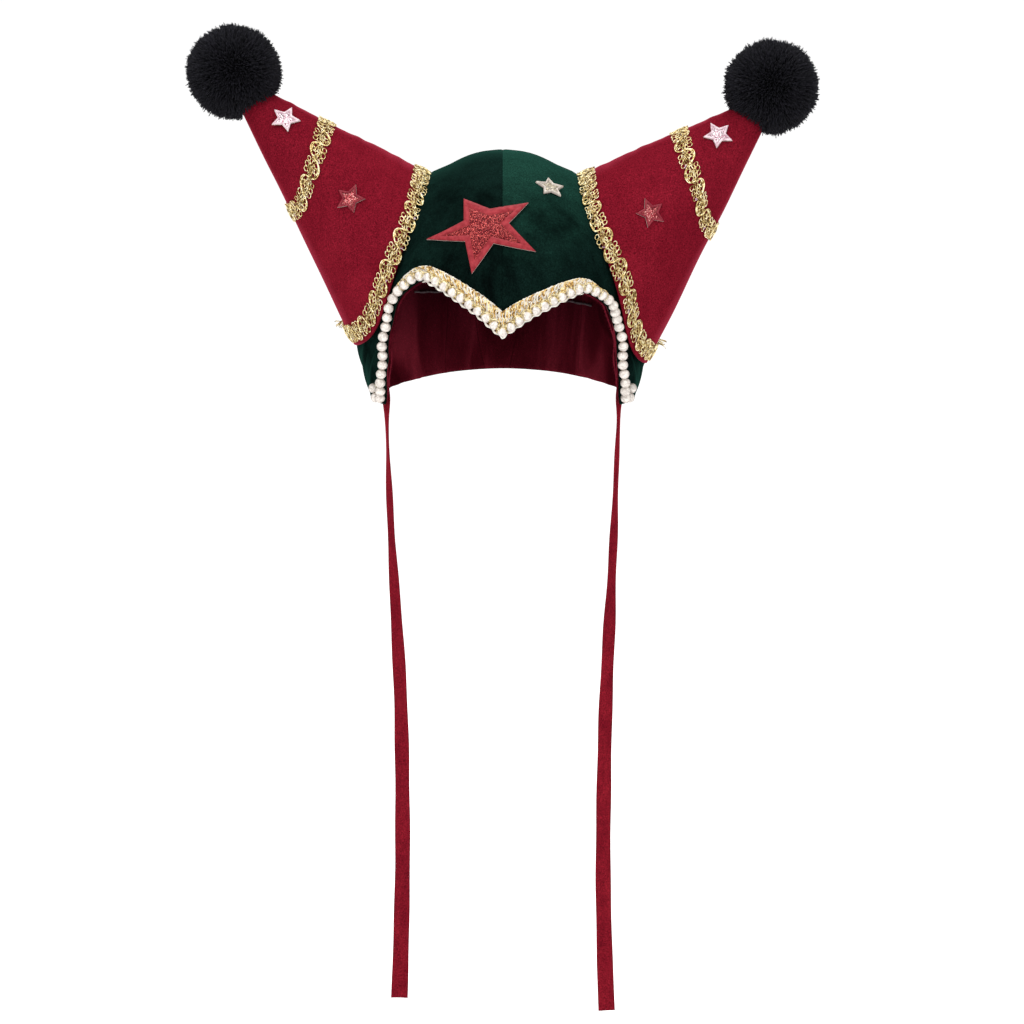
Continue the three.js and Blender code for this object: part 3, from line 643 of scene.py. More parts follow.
class Shader:
    """A material with a Principled shader and short calls that add and link its nodes."""

    def __init__(self, name, color, roughness, **sockets):
        self.material = bpy.data.materials.new(name)
        self.material.use_nodes = True
        self.nodes = self.material.node_tree.nodes
        self.links = self.material.node_tree.links
        self.main = self.nodes["Principled BSDF"]
        self.main.inputs["Base Color"].default_value = (*color, 1)
        self.main.inputs["Roughness"].default_value = roughness
        for socket, value in sockets.items():
            self.main.inputs[socket.replace("_", " ")].default_value = value
        self.place = self.node("ShaderNodeTexCoord").outputs["Object"]

    def node(self, kind, **settings):
        node = self.nodes.new(kind)
        for key, value in settings.items():
            setattr(node, key, value)
        return node

    def link(self, source, target):
        self.links.new(source, target)

    def mapped(self, scale):
        node = self.node("ShaderNodeMapping")
        node.inputs["Scale"].default_value = scale
        self.link(self.place, node.inputs["Vector"])
        return node.outputs["Vector"]

    def noise(self, scale, detail=3.0, rough=0.55, distortion=0.0, vector=None):
        node = self.node("ShaderNodeTexNoise")
        node.inputs["Scale"].default_value = scale
        node.inputs["Detail"].default_value = detail
        node.inputs["Roughness"].default_value = rough
        node.inputs["Distortion"].default_value = distortion
        self.link(vector or self.place, node.inputs["Vector"])
        return node.outputs["Fac"]

    def ramp(self, fac, stops):
        node = self.node("ShaderNodeValToRGB")
        ramp = node.color_ramp
        while len(ramp.elements) < len(stops):
            ramp.elements.new(0.5)
        for element, (position, color) in zip(ramp.elements, stops):
            element.position = position
            element.color = (*color, 1) if len(color) == 3 else color
        self.link(fac, node.inputs["Fac"])
        return node.outputs["Color"]

    def grey_ramp(self, fac, low, high):
        stops = ((low, (0, 0, 0)), (high, (1, 1, 1)))
        return self.ramp(fac, stops if low < high else ((high, (1, 1, 1)), (low, (0, 0, 0))))

    def mix(self, fac, a, b, blend="MIX"):
        node = self.node("ShaderNodeMix", data_type="RGBA", blend_type=blend)
        for socket, value in zip((node.inputs[0], node.inputs[6], node.inputs[7]), (fac, a, b)):
            if isinstance(value, bpy.types.NodeSocket):
                self.link(value, socket)
            else:
                socket.default_value = value if isinstance(value, float) else (*value, 1)
        return node.outputs[2]

    def wired(self, kind, *values, **settings):
        """The first output of a node whose first inputs are linked or set."""
        node = self.node(kind, **settings)
        for socket, value in zip(node.inputs, values):
            if isinstance(value, bpy.types.NodeSocket):
                self.link(value, socket)
            else:
                socket.default_value = value
        return node.outputs[0]

    def axis(self, index):
        split = self.node("ShaderNodeSeparateXYZ")
        self.link(self.place, split.inputs[0])
        return split.outputs[index]

    def facing(self, blend):
        node = self.node("ShaderNodeLayerWeight")
        node.inputs["Blend"].default_value = blend
        return node.outputs["Facing"]

    def toned(self, share, color, factor):
        """The colour, times the factor where share is 1."""
        return self.mix(share, color, self.mix(1.0, color, (factor,) * 3, "MULTIPLY"))

    def height_share(self, low, high):
        """0 below the lower height and 1 above the upper one, with a blotchy edge."""
        reach = (high - low) * BLOTCH_SHARE
        blotch = self.wired("ShaderNodeMath", self.noise(30, 4, 0.65), reach * 4, self.axis(2),
                            operation="MULTIPLY_ADD")
        return self.wired("ShaderNodeMapRange", blotch, low + reach * 2, high + reach * 2,
                          interpolation_type="SMOOTHSTEP")

    def color(self, socket):
        self.link(socket, self.main.inputs["Base Color"])

    def bump(self, height, strength, distance, normal=None):
        node = self.node("ShaderNodeBump")
        node.inputs["Strength"].default_value = strength
        node.inputs["Distance"].default_value = distance
        self.link(height, node.inputs["Height"])
        if normal:
            self.link(normal, node.inputs["Normal"])
        self.link(node.outputs["Normal"], self.main.inputs["Normal"])
        return node.outputs["Normal"]


def velvet(name, dark, light, sheen_color, nap=26.0, lift=None, soft=0.0):
    """Pile fabric: patches where the nap lies one way or the other, fine grain, and a painted sheen that
    lightens it where its surface turns from view.
    lift is painted light from above: a lighter colour that it takes on upwards, from one height to another,
    in metres. soft makes the patches fainter."""
    s = Shader(name, dark, 0.95, Specular_IOR_Level=0.0, Sheen_Weight=0.1, Sheen_Roughness=0.3)
    s.main.inputs["Sheen Tint"].default_value = (*sheen_color, 1)
    patches = s.noise(nap, 5, 0.65, 0.8)
    streaks = s.noise(75, 4, 0.65, 0.4, s.mapped((1.6, 1.6, 0.35)))
    base = s.mix(s.grey_ramp(patches, 0.38 - soft, 0.62 + soft), dark, light)
    base = s.mix(0.4 - soft, base, s.mix(s.grey_ramp(streaks, 0.4 - soft, 0.6 + soft), dark, light))
    if lift:
        color, low, high = lift
        # Painted light from above: the upper part takes on the lighter colour.
        base = s.mix(s.height_share(low, high), base, color)
    grain = s.noise(PILE_SCALE, 3, 0.75)
    base = s.toned(s.grey_ramp(grain, 0.52, 0.7), base, 1.9)
    base = s.toned(s.grey_ramp(grain, 0.48, 0.34), base, 0.45)
    # Painted sheen: the colour turns to the sheen colour where the surface turns away from view.
    base = s.mix(s.grey_ramp(s.facing(0.2), 0.36, 1.0), base, sheen_color)
    s.color(base)
    first = s.bump(s.noise(240, 3, 0.6), 0.35, 0.0006)
    s.bump(grain, 0.6, 0.00035, first)
    return s.material


def lining_velvet(name):
    """The lining's pile, with painted shading: folds that run down it, darker in their hollows and lighter
    on their crests, thin creases with painted shade, and painted shade far inside the crown.
    """
    s = Shader(name, (0.09, 0.005, 0.012), 0.95, Specular_IOR_Level=0.0)
    folds = s.noise(44, 3, 0.55, 0.6, s.mapped((1, 0.6, 0.12)))
    # Painted shading of the folds: darker in their hollows and lighter on their crests, following the same
    # noise as their bump.
    fold_shading = ((0.32, (0.032, 0.0015, 0.004)), (0.5, (0.068, 0.0042, 0.009)), (0.66, (0.145, 0.012, 0.022)))
    base = s.ramp(folds, fold_shading)
    crease = s.noise(24, 1, 0.4, 0.8, s.mapped((1, 0.5, 0.12)))
    # Painted shade in thin creases, with a lighter line beside each.
    crease_shading = ((0.487, 1.0), (0.498, 0.45), (0.507, 1.25), (0.52, 1.0))
    lines = s.ramp(crease, [(place, (shade,) * 3) for place, shade in crease_shading])
    base = s.mix(0.8, base, lines, "MULTIPLY")
    # Painted shade: darker deeper and higher inside the crown, where less light reaches.
    inside = s.wired("ShaderNodeMath", s.axis(1), 0.35, s.axis(2), operation="MULTIPLY_ADD")
    share = s.wired("ShaderNodeMapRange", inside, 0.035, 0.08, 0.0, 0.8)
    base = s.mix(share, base, (0.015, 0.0012, 0.0034))
    grain = s.noise(PILE_SCALE, 3, 0.75)
    base = s.toned(s.grey_ramp(grain, 0.52, 0.7), base, 1.8)
    s.color(base)
    first = s.bump(folds, 0.5, 0.002)
    s.bump(grain, 0.5, 0.00035, first)
    return s.material


def gold_thread(name, low, middle, high, metallic=0.6):
    """Metallic thread wrapped round a core: rings along its length and glints."""
    s = Shader(name, middle, 0.32, Metallic=metallic)
    wrap = s.node("ShaderNodeAttribute", attribute_name="wrap").outputs["Fac"]
    turn = s.wired("ShaderNodeMath", wrap, TAU / THREAD_WRAP, operation="MULTIPLY")
    wave = s.wired("ShaderNodeMath", turn, operation="SINE")
    s.color(s.ramp(s.noise(520, 3, 0.6), ((0.39, low), (0.49, middle), (0.6, high))))
    s.bump(wave, 0.4, 0.0001)
    return s.material


def satin(name, color, bright, roughness=0.4, gloss=0.4):
    s = Shader(name, color, roughness, Specular_IOR_Level=gloss)
    s.color(s.ramp(s.noise(420, 3), ((0.35, color), (0.7, bright))))
    s.bump(s.noise(900, 2), 0.3, 0.0002)
    return s.material


def pearl_coat(name):
    """Imitation pearl: cream white, with painted shade that greys it towards its edge as seen, and a faint
    swirl.
    """
    s = Shader(name, (0.62, 0.57, 0.52), 0.3, Coat_Weight=0.25, Coat_Roughness=0.08)
    # Painted shade: the colour greys towards the edge of each pearl as seen.
    edge = ((0.12, (0.66, 0.61, 0.56)), (0.4, (0.52, 0.46, 0.41)), (0.75, (0.2, 0.165, 0.145)))
    swirl = ((0.43, (0.22, 0.18, 0.16)), (0.5, (0.56, 0.5, 0.45)), (0.56, (0.78, 0.74, 0.69)))
    s.color(s.mix(0.35, s.ramp(s.facing(0.5), edge), s.ramp(s.noise(330, 3, 0.6, 1.5), swirl)))
    s.bump(s.noise(700, 2), 0.12, 0.0001)
    return s.material


def glitter(name, dark, middle, spark, flake=2600.0, metallic=0.75):
    """Glitter: small flakes, each with its own shade and its own tilt."""
    s = Shader(name, middle, 0.3, Metallic=metallic, Specular_IOR_Level=0.1)
    cells = s.node("ShaderNodeTexVoronoi")
    cells.inputs["Scale"].default_value = flake
    s.link(s.place, cells.inputs["Vector"])
    shade = s.wired("ShaderNodeSeparateColor", cells.outputs["Color"])
    s.color(s.ramp(shade, ((0.25, dark), (0.72, middle), (0.98, spark))))
    tilt = s.wired("ShaderNodeVectorMath", cells.outputs["Color"], (0.5,) * 3, operation="SUBTRACT")
    tilt = s.wired("ShaderNodeVectorMath", tilt, (0.9,) * 3, operation="MULTIPLY")
    normal = s.node("ShaderNodeNewGeometry").outputs["Normal"]
    tilted = s.wired("ShaderNodeVectorMath", normal, tilt, operation="ADD")
    s.link(s.wired("ShaderNodeVectorMath", tilted, operation="NORMALIZE"), s.main.inputs["Normal"])
    return s.material


def yarn(name):
    s = Shader(name, (0.005, 0.005, 0.008), 0.75, Specular_IOR_Level=0.15, Sheen_Weight=0.08,
               Sheen_Roughness=0.4)
    s.main.inputs["Sheen Tint"].default_value = (0.35, 0.37, 0.45, 1)
    shade = s.node("ShaderNodeAttribute", attribute_name="shade")
    s.color(s.ramp(shade.outputs["Fac"], ((0.0, (0.001, 0.001, 0.002)), (1.0, (0.0095, 0.009, 0.0135)))))
    s.bump(s.noise(2500, 2), 0.4, 0.0002)
    return s.material


# Velvets: dark and light colours of the pile, and the colour of its sheen, which is also painted on where
# the surface turns away from view.
GREEN = ((0.0011, 0.0024, 0.0022), (0.0032, 0.011, 0.0087), (0.014, 0.058, 0.043))
# Painted light from above on each half of the crown: the lighter colour, and the heights in metres where it
# starts and where it is full. The right half's is brighter and starts lower.
LEFT_TOP_LIGHT = ((0.004, 0.0135, 0.0108), 0.105, 0.155)
RIGHT_TOP_LIGHT = ((0.008, 0.035, 0.025), 0.086, 0.146)
RED = ((0.1, 0.0035, 0.009), (0.165, 0.0076, 0.0165), (0.4, 0.045, 0.08))
TIE_RED = ((0.115, 0.0045, 0.0103), (0.168, 0.008, 0.015), (0.36, 0.03, 0.05))
GOLD = ((0.15, 0.09, 0.02), (0.72, 0.53, 0.19), (1.0, 0.93, 0.62))
BROW_GOLD = ((0.3, 0.15, 0.025), (0.74, 0.46, 0.12), (1.0, 0.86, 0.5))
FLAKES = ((0.4, 0.2, 0.3), (0.7, 0.5, 0.6), (0.95, 0.85, 0.95))
RED_GLITTER = ((0.04, 0.001, 0.003), (0.17, 0.005, 0.012), (0.8, 0.14, 0.12))
SMALL_GLITTER = ((0.12, 0.01, 0.014), (0.42, 0.07, 0.08), (0.95, 0.45, 0.42))
SILVER_GLITTER = ((0.3, 0.14, 0.18), (0.75, 0.66, 0.68), (1.0, 0.97, 0.98))
CREAM_GLITTER = ((0.2, 0.17, 0.12), (0.48, 0.42, 0.32), (0.92, 0.88, 0.78))


def make_materials():
    return {
        "green_left": velvet("green_velvet_left", *GREEN, lift=LEFT_TOP_LIGHT),
        "green_right": velvet("green_velvet_right", *GREEN, lift=RIGHT_TOP_LIGHT),
        "red": velvet("red_velvet", *RED, soft=0.12),
        "lining": lining_velvet("lining_cloth"),
        "tie": velvet("tie_velvet", *TIE_RED, nap=60.0),
        "gold": gold_thread("gold_thread", *GOLD),
        "brow_gold": gold_thread("brow_gold", *BROW_GOLD, 0.45),
        "cream": satin("cream_satin", (0.3, 0.2, 0.09), (0.6, 0.5, 0.34)),
        "white": satin("white_cord", (0.55, 0.5, 0.42), (0.82, 0.79, 0.72)),
        "pearl": pearl_coat("pearl_coat"),
        "flakes": glitter("iridescent_film", *FLAKES, 1500.0, 0.6),
        "star": glitter("red_glitter", *RED_GLITTER, 3200.0, 0.3),
        "star_rim": satin("star_rim", (0.2, 0.014, 0.02), (0.32, 0.034, 0.042), 0.5, 0.1),
        "small_star": glitter("small_red_glitter", *SMALL_GLITTER),
        "small_rim": satin("small_star_rim", (0.16, 0.014, 0.024), (0.24, 0.03, 0.04), 0.5, 0.1),
        "backing": satin("star_backing", (0.34, 0.27, 0.24), (0.45, 0.38, 0.34), 0.7),
        "silver": glitter("silver_glitter", *SILVER_GLITTER, 1900.0, 0.8),
        "silver_rim": satin("silver_rim", (0.45, 0.28, 0.33), (0.78, 0.68, 0.7), 0.4),
        "cream_glitter": glitter("cream_glitter", *CREAM_GLITTER, 1900.0),
        "cream_rim": satin("cream_rim", (0.34, 0.29, 0.25), (0.56, 0.5, 0.44), 0.45),
        "yarn": yarn("black_yarn"),
        "tape": satin("grey_tape", (0.035, 0.022, 0.024), (0.075, 0.055, 0.06), 0.8, 0.2),
    }


# Crown pieces

def no_dent(turn, lift):
    return np.zeros_like(turn)


def layer_sections(turns, heights, rows, out, wall, edge_round, dent, inner_dent, inner_step=1):
    """Cuts through a layer from its rounded edge to the top and back down its inner face, which
    keeps every inner_step-th row."""
    start = lift_at(heights)
    share = np.linspace(0, 1, rows + 1) ** 1.05
    lift = start[:, None] + (1 - start[:, None]) * share[None, :]
    turn = np.broadcast_to(turns[:, None], lift.shape)
    dents = dent(turn, lift)
    base = crown_point(turn, lift, 0.0)
    away = crown_point(turn, lift, 1.0) - base
    outer = base + away * (dents + out)[..., None]
    inner = base + away * (inner_dent(turn, lift) + out - wall)[..., None]
    lip = (outer[:, 0] + inner[:, 0]) / 2 + unit(outer[:, 0] - outer[:, 1]) * edge_round
    tuck = 0.35 * edge_round
    outer[:, 0] -= away[:, 0] * tuck
    inner[:, 0] += away[:, 0] * tuck
    return np.concatenate([lip[:, None], outer, inner[:, ::-inner_step], lip[:, None]], 1)


def make_crown_panel(side, materials):
    """Half of the crown. Its inner edge meets the other half's along the middle."""
    turns, heights = edge_stations(side, 110, 80)
    sections = layer_sections(turns, heights, PANEL_ROWS, 0.0, PANEL_WALL, 0.7, crown_dent, no_dent,
                              INNER_PANEL_STEP)
    sections[..., 0] = side * np.abs(sections[..., 0])
    name = "left" if side < 0 else "right"
    panel = skin(f"crown_velvet_{name}", sections, False, materials[f"green_{name}"], "green_velvet")
    return show(panel, f"crown_panel_{name}")


def lining_dent(turn, lift):
    """Folds that run up from the rim, creases down the back, and slack between them."""
    folds = 0
    for at, spread, depth in LINING_FOLDS:
        folds = folds + depth * np.exp(-(((np.abs(turn) - math.radians(at)) / math.radians(spread)) ** 2))
    folds = folds * np.maximum(0.35 - lift, 0) / 1.3
    x = np.sin(turn) * CROWN_HALF_WIDTH
    creases = 0
    for at, depth in LINING_CREASES:
        creases = creases + depth * np.exp(-(((x - at - 5 * lift) / CREASE_WIDTH) ** 2))
    creases = creases * (np.abs(turn) > math.pi / 2) * smoothstep(0.5, -0.3, lift)
    slack = 0.4 * (1 + np.sin(x / 4.6 + 1.5 * np.sin(x / 13) + lift)) * smoothstep(1, 0.4, lift)
    return -folds - creases - slack


def make_lining(material):
    turns, heights = edge_stations(1, 90, 110)
    left_turns, left_heights = edge_stations(-1, 90, 110)
    turns = np.concatenate([turns, -left_turns[1:-1][::-1]])
    heights = np.concatenate([heights, left_heights[1:-1][::-1]])
    front = np.abs(turns) < math.radians(CORNER_TURN)
    heights = heights + np.where(front, LINING_SETBACK, BACK_LINING_SETBACK)
    out = -(PANEL_WALL + LAYER_GAP)
    sections = layer_sections(turns, heights, LINING_ROWS, out, LINING_WALL, 0.4, lining_dent, lining_dent)
    return show(skin("lining_cloth", sections, True, material, "lining"), "crown_lining")


def make_stay(material):
    """The narrow tape across the inside of the back."""
    share = np.linspace(-1, 1, 90)
    turn = math.pi + share * STAY_TURN
    near = -(PANEL_WALL + LAYER_GAP + LINING_WALL + STAY_INSET)
    far = near - STAY_THICKNESS
    height = STAY_HEIGHT + share * STAY_RISE + 0.2 * np.sin(share * 40)
    low, high = lift_at(height - STAY_HALF_WIDTH), lift_at(height + STAY_HALF_WIDTH)
    corners = ((low, near), (high, near), (high, far), (low, far))
    ring = [crown_point(turn, lift, out) for lift, out in corners]
    return show(skin("stay_tape", np.stack(ring, 1), False, material, "grey_tape"), "lining_stay")


# Horns

def make_horn(name, horn, material):
    turn_count, row_count = HORN_COUNT
    turns = TAU * np.arange(turn_count) / turn_count
    outer_seat = seat_along(horn, turns, 0.0)[:, None]
    inner_seat = seat_along(horn, turns, -HORN_WALL)[:, None]
    share = np.linspace(0, 1, row_count)[None, :]
    cavity = HORN_TIP + HORN_TIP_CAP
    turn = np.broadcast_to(turns[:, None], (turn_count, row_count))
    outer = horn_surface(horn, HORN_TIP + (outer_seat - HORN_TIP) * share, turn, 0.0)
    share, turn = share[:, ::INNER_HORN_STEP], turn[:, ::INNER_HORN_STEP]
    inner = horn_surface(horn, inner_seat + (cavity - inner_seat) * share, turn, -HORN_WALL)
    tip = np.broadcast_to(horn.apex + horn.axis * HORN_TIP, (turn_count, 1, 3))
    end = np.broadcast_to(horn.apex + horn.axis * cavity, (turn_count, 1, 3))
    sections = np.concatenate([tip, outer, inner, end], 1)
    return show(skin(f"horn_velvet_{name}", sections, True, material, "red_velvet"), f"horn_{name}")


def fibonacci_sphere(count):
    i = np.arange(count) + 0.5
    z = 1 - 2 * i / count
    angle = math.pi * (1 + math.sqrt(5)) * i
    flat = np.sqrt(1 - z * z)
    return np.stack([flat * np.cos(angle), flat * np.sin(angle), z], 1)


def make_pompom(name, horn, material):
    """A ball of cut yarn: thousands of bent strands that stand out of a dense middle."""
    centre = horn.apex + horn.axis * POMPOM_ALONG + horn.up * POMPOM_LIFT
    centre = centre - np.array([0, 0, POMPOM_SAG[horn.side]])
    count = YARN_STRANDS
    rays = unit(fibonacci_sphere(count) + RNG.normal(0, 0.02, (count, 3)))
    clumps = 0.03 * np.sin(9 * rays[:, 0] + 3 * rays[:, 2]) * np.sin(8 * rays[:, 1] - 5 * rays[:, 2])
    reach = POMPOM_RADIUS * (0.965 + clumps + RNG.normal(0, 0.022, count))
    bend = unit(RNG.normal(0, 1, (count, 3))) * (1.3 * RNG.random((count, 1)))
    base = centre + rays * POMPOM_RADIUS * YARN_ROOT
    middle = centre + rays * (reach * YARN_BEND)[:, None] + bend * 0.5
    tip = centre + rays * reach[:, None] + bend + np.array([0, 0, -0.35])
    clear = horn_distance(horn, middle) > 0.6
    base, middle, tip, rays = base[clear], middle[clear], tip[clear], rays[clear]
    count = len(base)
    side = unit(np.cross(rays, RNG.normal(0, 1, (count, 3))))
    other = np.cross(rays, side)
    angle = TAU * np.arange(YARN_SIDES) / YARN_SIDES
    ring = np.cos(angle)[None, :, None] * side[:, None] + np.sin(angle)[None, :, None] * other[:, None]
    thick = (0.34 + 0.14 * RNG.random(count))[:, None, None]
    verts = np.concatenate([
        base[:, None] + ring * thick,
        middle[:, None] + ring * thick,
        tip[:, None] + ring * thick * 0.55,
    ], 1)
    first = (np.arange(count) * 9)[:, None]
    cycle = [(0, 1), (1, 2), (2, 0)]
    faces = []
    for row in (0, 3):
        for a, b in cycle:
            faces.append(first + np.array([row + a, row + b, row + 3 + b, row + 3 + a]))
    quads = np.stack(faces, 1).reshape(-1, 4).tolist()
    caps = np.stack([first + np.array([2, 1, 0]), first + np.array([6, 7, 8])], 1).reshape(-1, 3).tolist()
    obj = add_object(f"pompom_yarn_{name}", verts.reshape(-1, 3), quads + caps, material, "black_yarn")
    shade = obj.data.attributes.new("shade", "FLOAT", "POINT")
    shade.data.foreach_set("value", np.repeat(RNG.random(count), 9).astype(np.float32))
    show(obj, f"pompom_{name}")
    make_pompom_core(name, horn, centre, material)


def make_pompom_core(name, horn, centre, material):
    """The dense middle of the yarn: a lumpy ball round the pompom's centre."""
    mesh = bmesh.new()
    bmesh.ops.create_icosphere(mesh, subdivisions=5, radius=POMPOM_RADIUS * CORE_SHARE)
    for vert in mesh.verts:
        lump = 0.5 * math.sin(vert.co.x * 1.7) * math.sin(vert.co.y * 1.9) * math.sin(vert.co.z * 1.8)
        vert.co *= 1 + lump / POMPOM_RADIUS
    verts = np.array([v.co for v in mesh.verts]) + centre
    faces = [[v.index for v in face.verts] for face in mesh.faces]
    mesh.free()
    show(add_object(f"pompom_core_{name}", verts, faces, material, "black_yarn"))


# Braid round the horns

class BraidLoop:
    """Places on a closed band round a horn: s counts the pattern's repeats, w is the distance
    across from its middle and h its height over the velvet."""

    def __init__(self, horn, alongs):
        self.horn = horn
        self.alongs = alongs
        line = horn_point(horn, alongs, BRAID_TURNS, 0.0)
        steps = np.linalg.norm(np.diff(line, axis=0), axis=1)
        self.lengths = np.concatenate([[0], np.cumsum(steps)])
        self.repeats = round(self.lengths[-1] / BRAID_PITCH)

    def place(self, s, w, h):
        length = np.mod(np.asarray(s, float) / self.repeats, 1) * self.lengths[-1]
        turn = np.interp(length, self.lengths, BRAID_TURNS)
        along = np.interp(length, self.lengths, self.alongs) + w
        height = np.zeros_like(turn) + h
        point = lifted_off_crown(horn_surface(self.horn, along, turn, height), height)
        normal = unit(horn_point(self.horn, along, turn, 1.0) - horn_point(self.horn, along, turn, 0.0))
        return point, normal


def make_gimp(name, node, loop, gold, film):
    """Scroll gimp: a double cord that swings from edge to edge in round lobes, two threads along
    its middle, curls inside and beside each lobe, and film between the lobes."""
    tubes = Tubes()
    t = np.arange(0, loop.repeats, 1 / 36)
    for swing, height, radius in GIMP_CORDS:
        w = swing * np.sign(np.sin(TAU * t)) * np.abs(np.sin(TAU * t)) ** 0.72
        h = height + 0.5 * np.cos(TAU * t) ** 8
        tubes.add(*loop.place(t - 0.03 * np.sin(2 * TAU * t), w, h), radius, 5, closed=True)
    t = np.arange(0, loop.repeats, 1 / 24)
    tubes.add(*loop.place(t, -1.5 * np.sin(TAU * t), 1.3), 0.24, 4, closed=True)
    tubes.add(*loop.place(t, 0.7 * np.sin(3 * TAU * t), 1.5), 0.22, 4, closed=True)
    for i in range(2 * loop.repeats):
        side = 1 if i % 2 == 0 else -1
        for shift, across, along, wide in SCROLLS:
            add_ring(tubes, loop, (0.25 + i / 2 + shift / BRAID_PITCH, side * across), along, wide)
    show(tubes.build(name, gold, "gold_braid"), node)
    add_film(name, loop, film)


def add_ring(tubes, loop, middle, along, wide):
    """A small curl of thread that rises at one side and dips at the other."""
    angle = TAU * np.arange(11) / 11
    swell = 1 + RNG.normal(0, 0.08)
    s = middle[0] + (along * swell * np.cos(angle) + RNG.normal(0, 0.15)) / BRAID_PITCH
    w = middle[1] + wide * swell * np.sin(angle)
    h = 0.7 + 0.3 * np.sin(angle + RNG.uniform(0, TAU))
    tubes.add(*loop.place(s, w, h), 0.26, 4, closed=True)


def add_film(name, loop, film):
    """Small twists of shiny film caught between the lobes."""
    tubes = Tubes()
    for i in range(loop.repeats):
        t = np.linspace(-0.045, 0.045, 5)
        w = 2.6 + 0.8 * np.sin(t * 50 + i)
        tubes.add(*loop.place(0.97 + i + t, w, 0.55), 0.4, 4)
    show(tubes.build(f"{name}_film", film, "gold_braid"))


def base_braid_along(horn, turn):
    """The base braid's middle: close to the seam at the top, further up the horn lower down."""
    lower = smoothstep(math.radians(50), math.radians(120), from_ridge(turn))
    return seat_along(horn, turn, 0.0) - BASE_BRAID_SETBACK + TOP_BRAID_SHIFT * (1 - lower)


def make_braids(name, horn, materials):
    base = BraidLoop(horn, base_braid_along(horn, BRAID_TURNS))
    mid = BraidLoop(horn, MID_BRAID_SHARE * seat_along(horn, BRAID_TURNS, 0.0))
    gold, film = materials["gold"], materials["flakes"]
    for kind, loop in (("base", base), ("mid", mid)):
        make_gimp(f"gimp_{kind}_{name}", f"braid_{kind}_{name}", loop, gold, film)
    make_whiskers(name, base, gold)


def make_whiskers(name, loop, gold):
    """The frayed end of the base braid, which sticks out at the horn's outer edge."""
    tubes = Tubes()
    middle = loop.repeats / 2
    for _ in range(WHISKERS):
        start, normal = loop.place(middle + RNG.normal(0, 0.03), RNG.uniform(-6.5, -3.5), 0.6)
        heading = unit(normal + RNG.normal(0, 0.22, 3) + np.array([0, -0.3, 0.35]))
        curl = unit(RNG.normal(0, 1, 3))
        t = np.linspace(0, 1, 7)[:, None]
        path = start + heading * RNG.uniform(3.0, 6.0) * t + curl * (0.9 * t * t)
        tubes.add(path, unit(np.cross(heading, curl)), 0.2, 4)
    show(tubes.build(f"gimp_frayed_{name}", gold, "gold_braid"))


# Pearls and the brow

def make_pearls(material):
    """Round beads in one mesh. Gives their places on the flat cloth and in space."""
    flat = mirrored(pearl_flat_places())
    centres = on_crown(flat, LAYER_GAP + PEARL_RADIUS)
    ball = bmesh.new()
    bmesh.ops.create_uvsphere(ball, u_segments=PEARL_SEGMENTS[0], v_segments=PEARL_SEGMENTS[1], radius=1)
    shape = np.array([v.co for v in ball.verts])
    ball_faces = [[v.index for v in face.verts] for face in ball.faces]
    ball.free()
    verts, faces = [], []
    for i, centre in enumerate(centres):
        size = PEARL_LOOK_RADIUS * (1 + RNG.normal(0, 0.015, 3))
        faces.extend([[v + i * len(shape) for v in face] for face in ball_faces])
        verts.append(centre + shape * size)
    show(add_object("pearl_beads", np.vstack(verts), faces, material, "pearl"), "pearl_string")
    return flat, centres


def make_pearl_thread(flat, centres, gold):
    """Gold thread that loops round each pearl on the fabric's side, and all round it on the brow."""
    tubes = Tubes()
    normal = crown_out(flat)
    tangent = unit(np.gradient(centres, axis=0))
    inward = np.cross(normal, tangent)
    for i, centre in enumerate(centres):
        on_brow = abs(flat[i][0]) < BROW_END
        rings = BROW_RINGS if on_brow else SIDE_RINGS
        for ring, height in rings:
            start = RNG.uniform(-0.9, 0.2) if on_brow else 0.9
            angle = np.linspace(start, math.pi - start, 15 if on_brow else 6)
            reach = ring + RNG.normal(0, 0.08)
            path = centre + np.cos(angle)[:, None] * tangent[i] * reach \
                + np.sin(angle)[:, None] * inward[i] * reach \
                + normal[i] * (height + 0.3 * np.sin(angle * 3))[:, None]
            tubes.add(path, np.broadcast_to(normal[i], path.shape), 0.24, 4)
        if i + 1 < len(centres):
            add_thread_over_gap(tubes, centres[i:i + 2], normal[i], inward[i])
    show(tubes.build("pearl_thread", gold, "gold_braid"))


def add_thread_over_gap(tubes, pair, normal, inward):
    """A turn of thread that crosses the string between two pearls."""
    middle = pair.mean(0)
    along = unit(pair[1] - pair[0])
    t = np.linspace(0, 1, 9)[:, None]
    bow = np.sin(t * math.pi) * 1.3
    path = middle + along * (0.4 * t - 0.2) + inward * (2.9 - 3.6 * t) + normal * (bow - 1.2)
    tubes.add(path, np.broadcast_to(normal, path.shape), 0.28, 4)


def make_edge_cord(material):
    """The white cord that scallops along the brow's edge, under the pearls."""
    tubes = Tubes()
    edge = mirrored(spaced(moved_edge(even(-1.3), -1.0), 260))
    edge = edge[np.abs(edge[:, 0]) < EDGE_CORD_END]
    beads = np.cumsum(np.concatenate([[0], np.linalg.norm(np.diff(edge, axis=0), axis=1)])) / PEARL_PITCH
    point = on_crown(edge, 1.6)
    normal = crown_out(edge)
    side = np.cross(normal, unit(np.gradient(point, axis=0)))
    radius = 0.2 + 0.5 * smoothstep(EDGE_CORD_END, EDGE_CORD_END - 6, np.abs(edge[:, 0]))
    tubes.add(point - side * (0.45 * np.cos(TAU * beads))[:, None], normal, radius, 6)
    show(tubes.build("edge_cord", material, "pearl"))


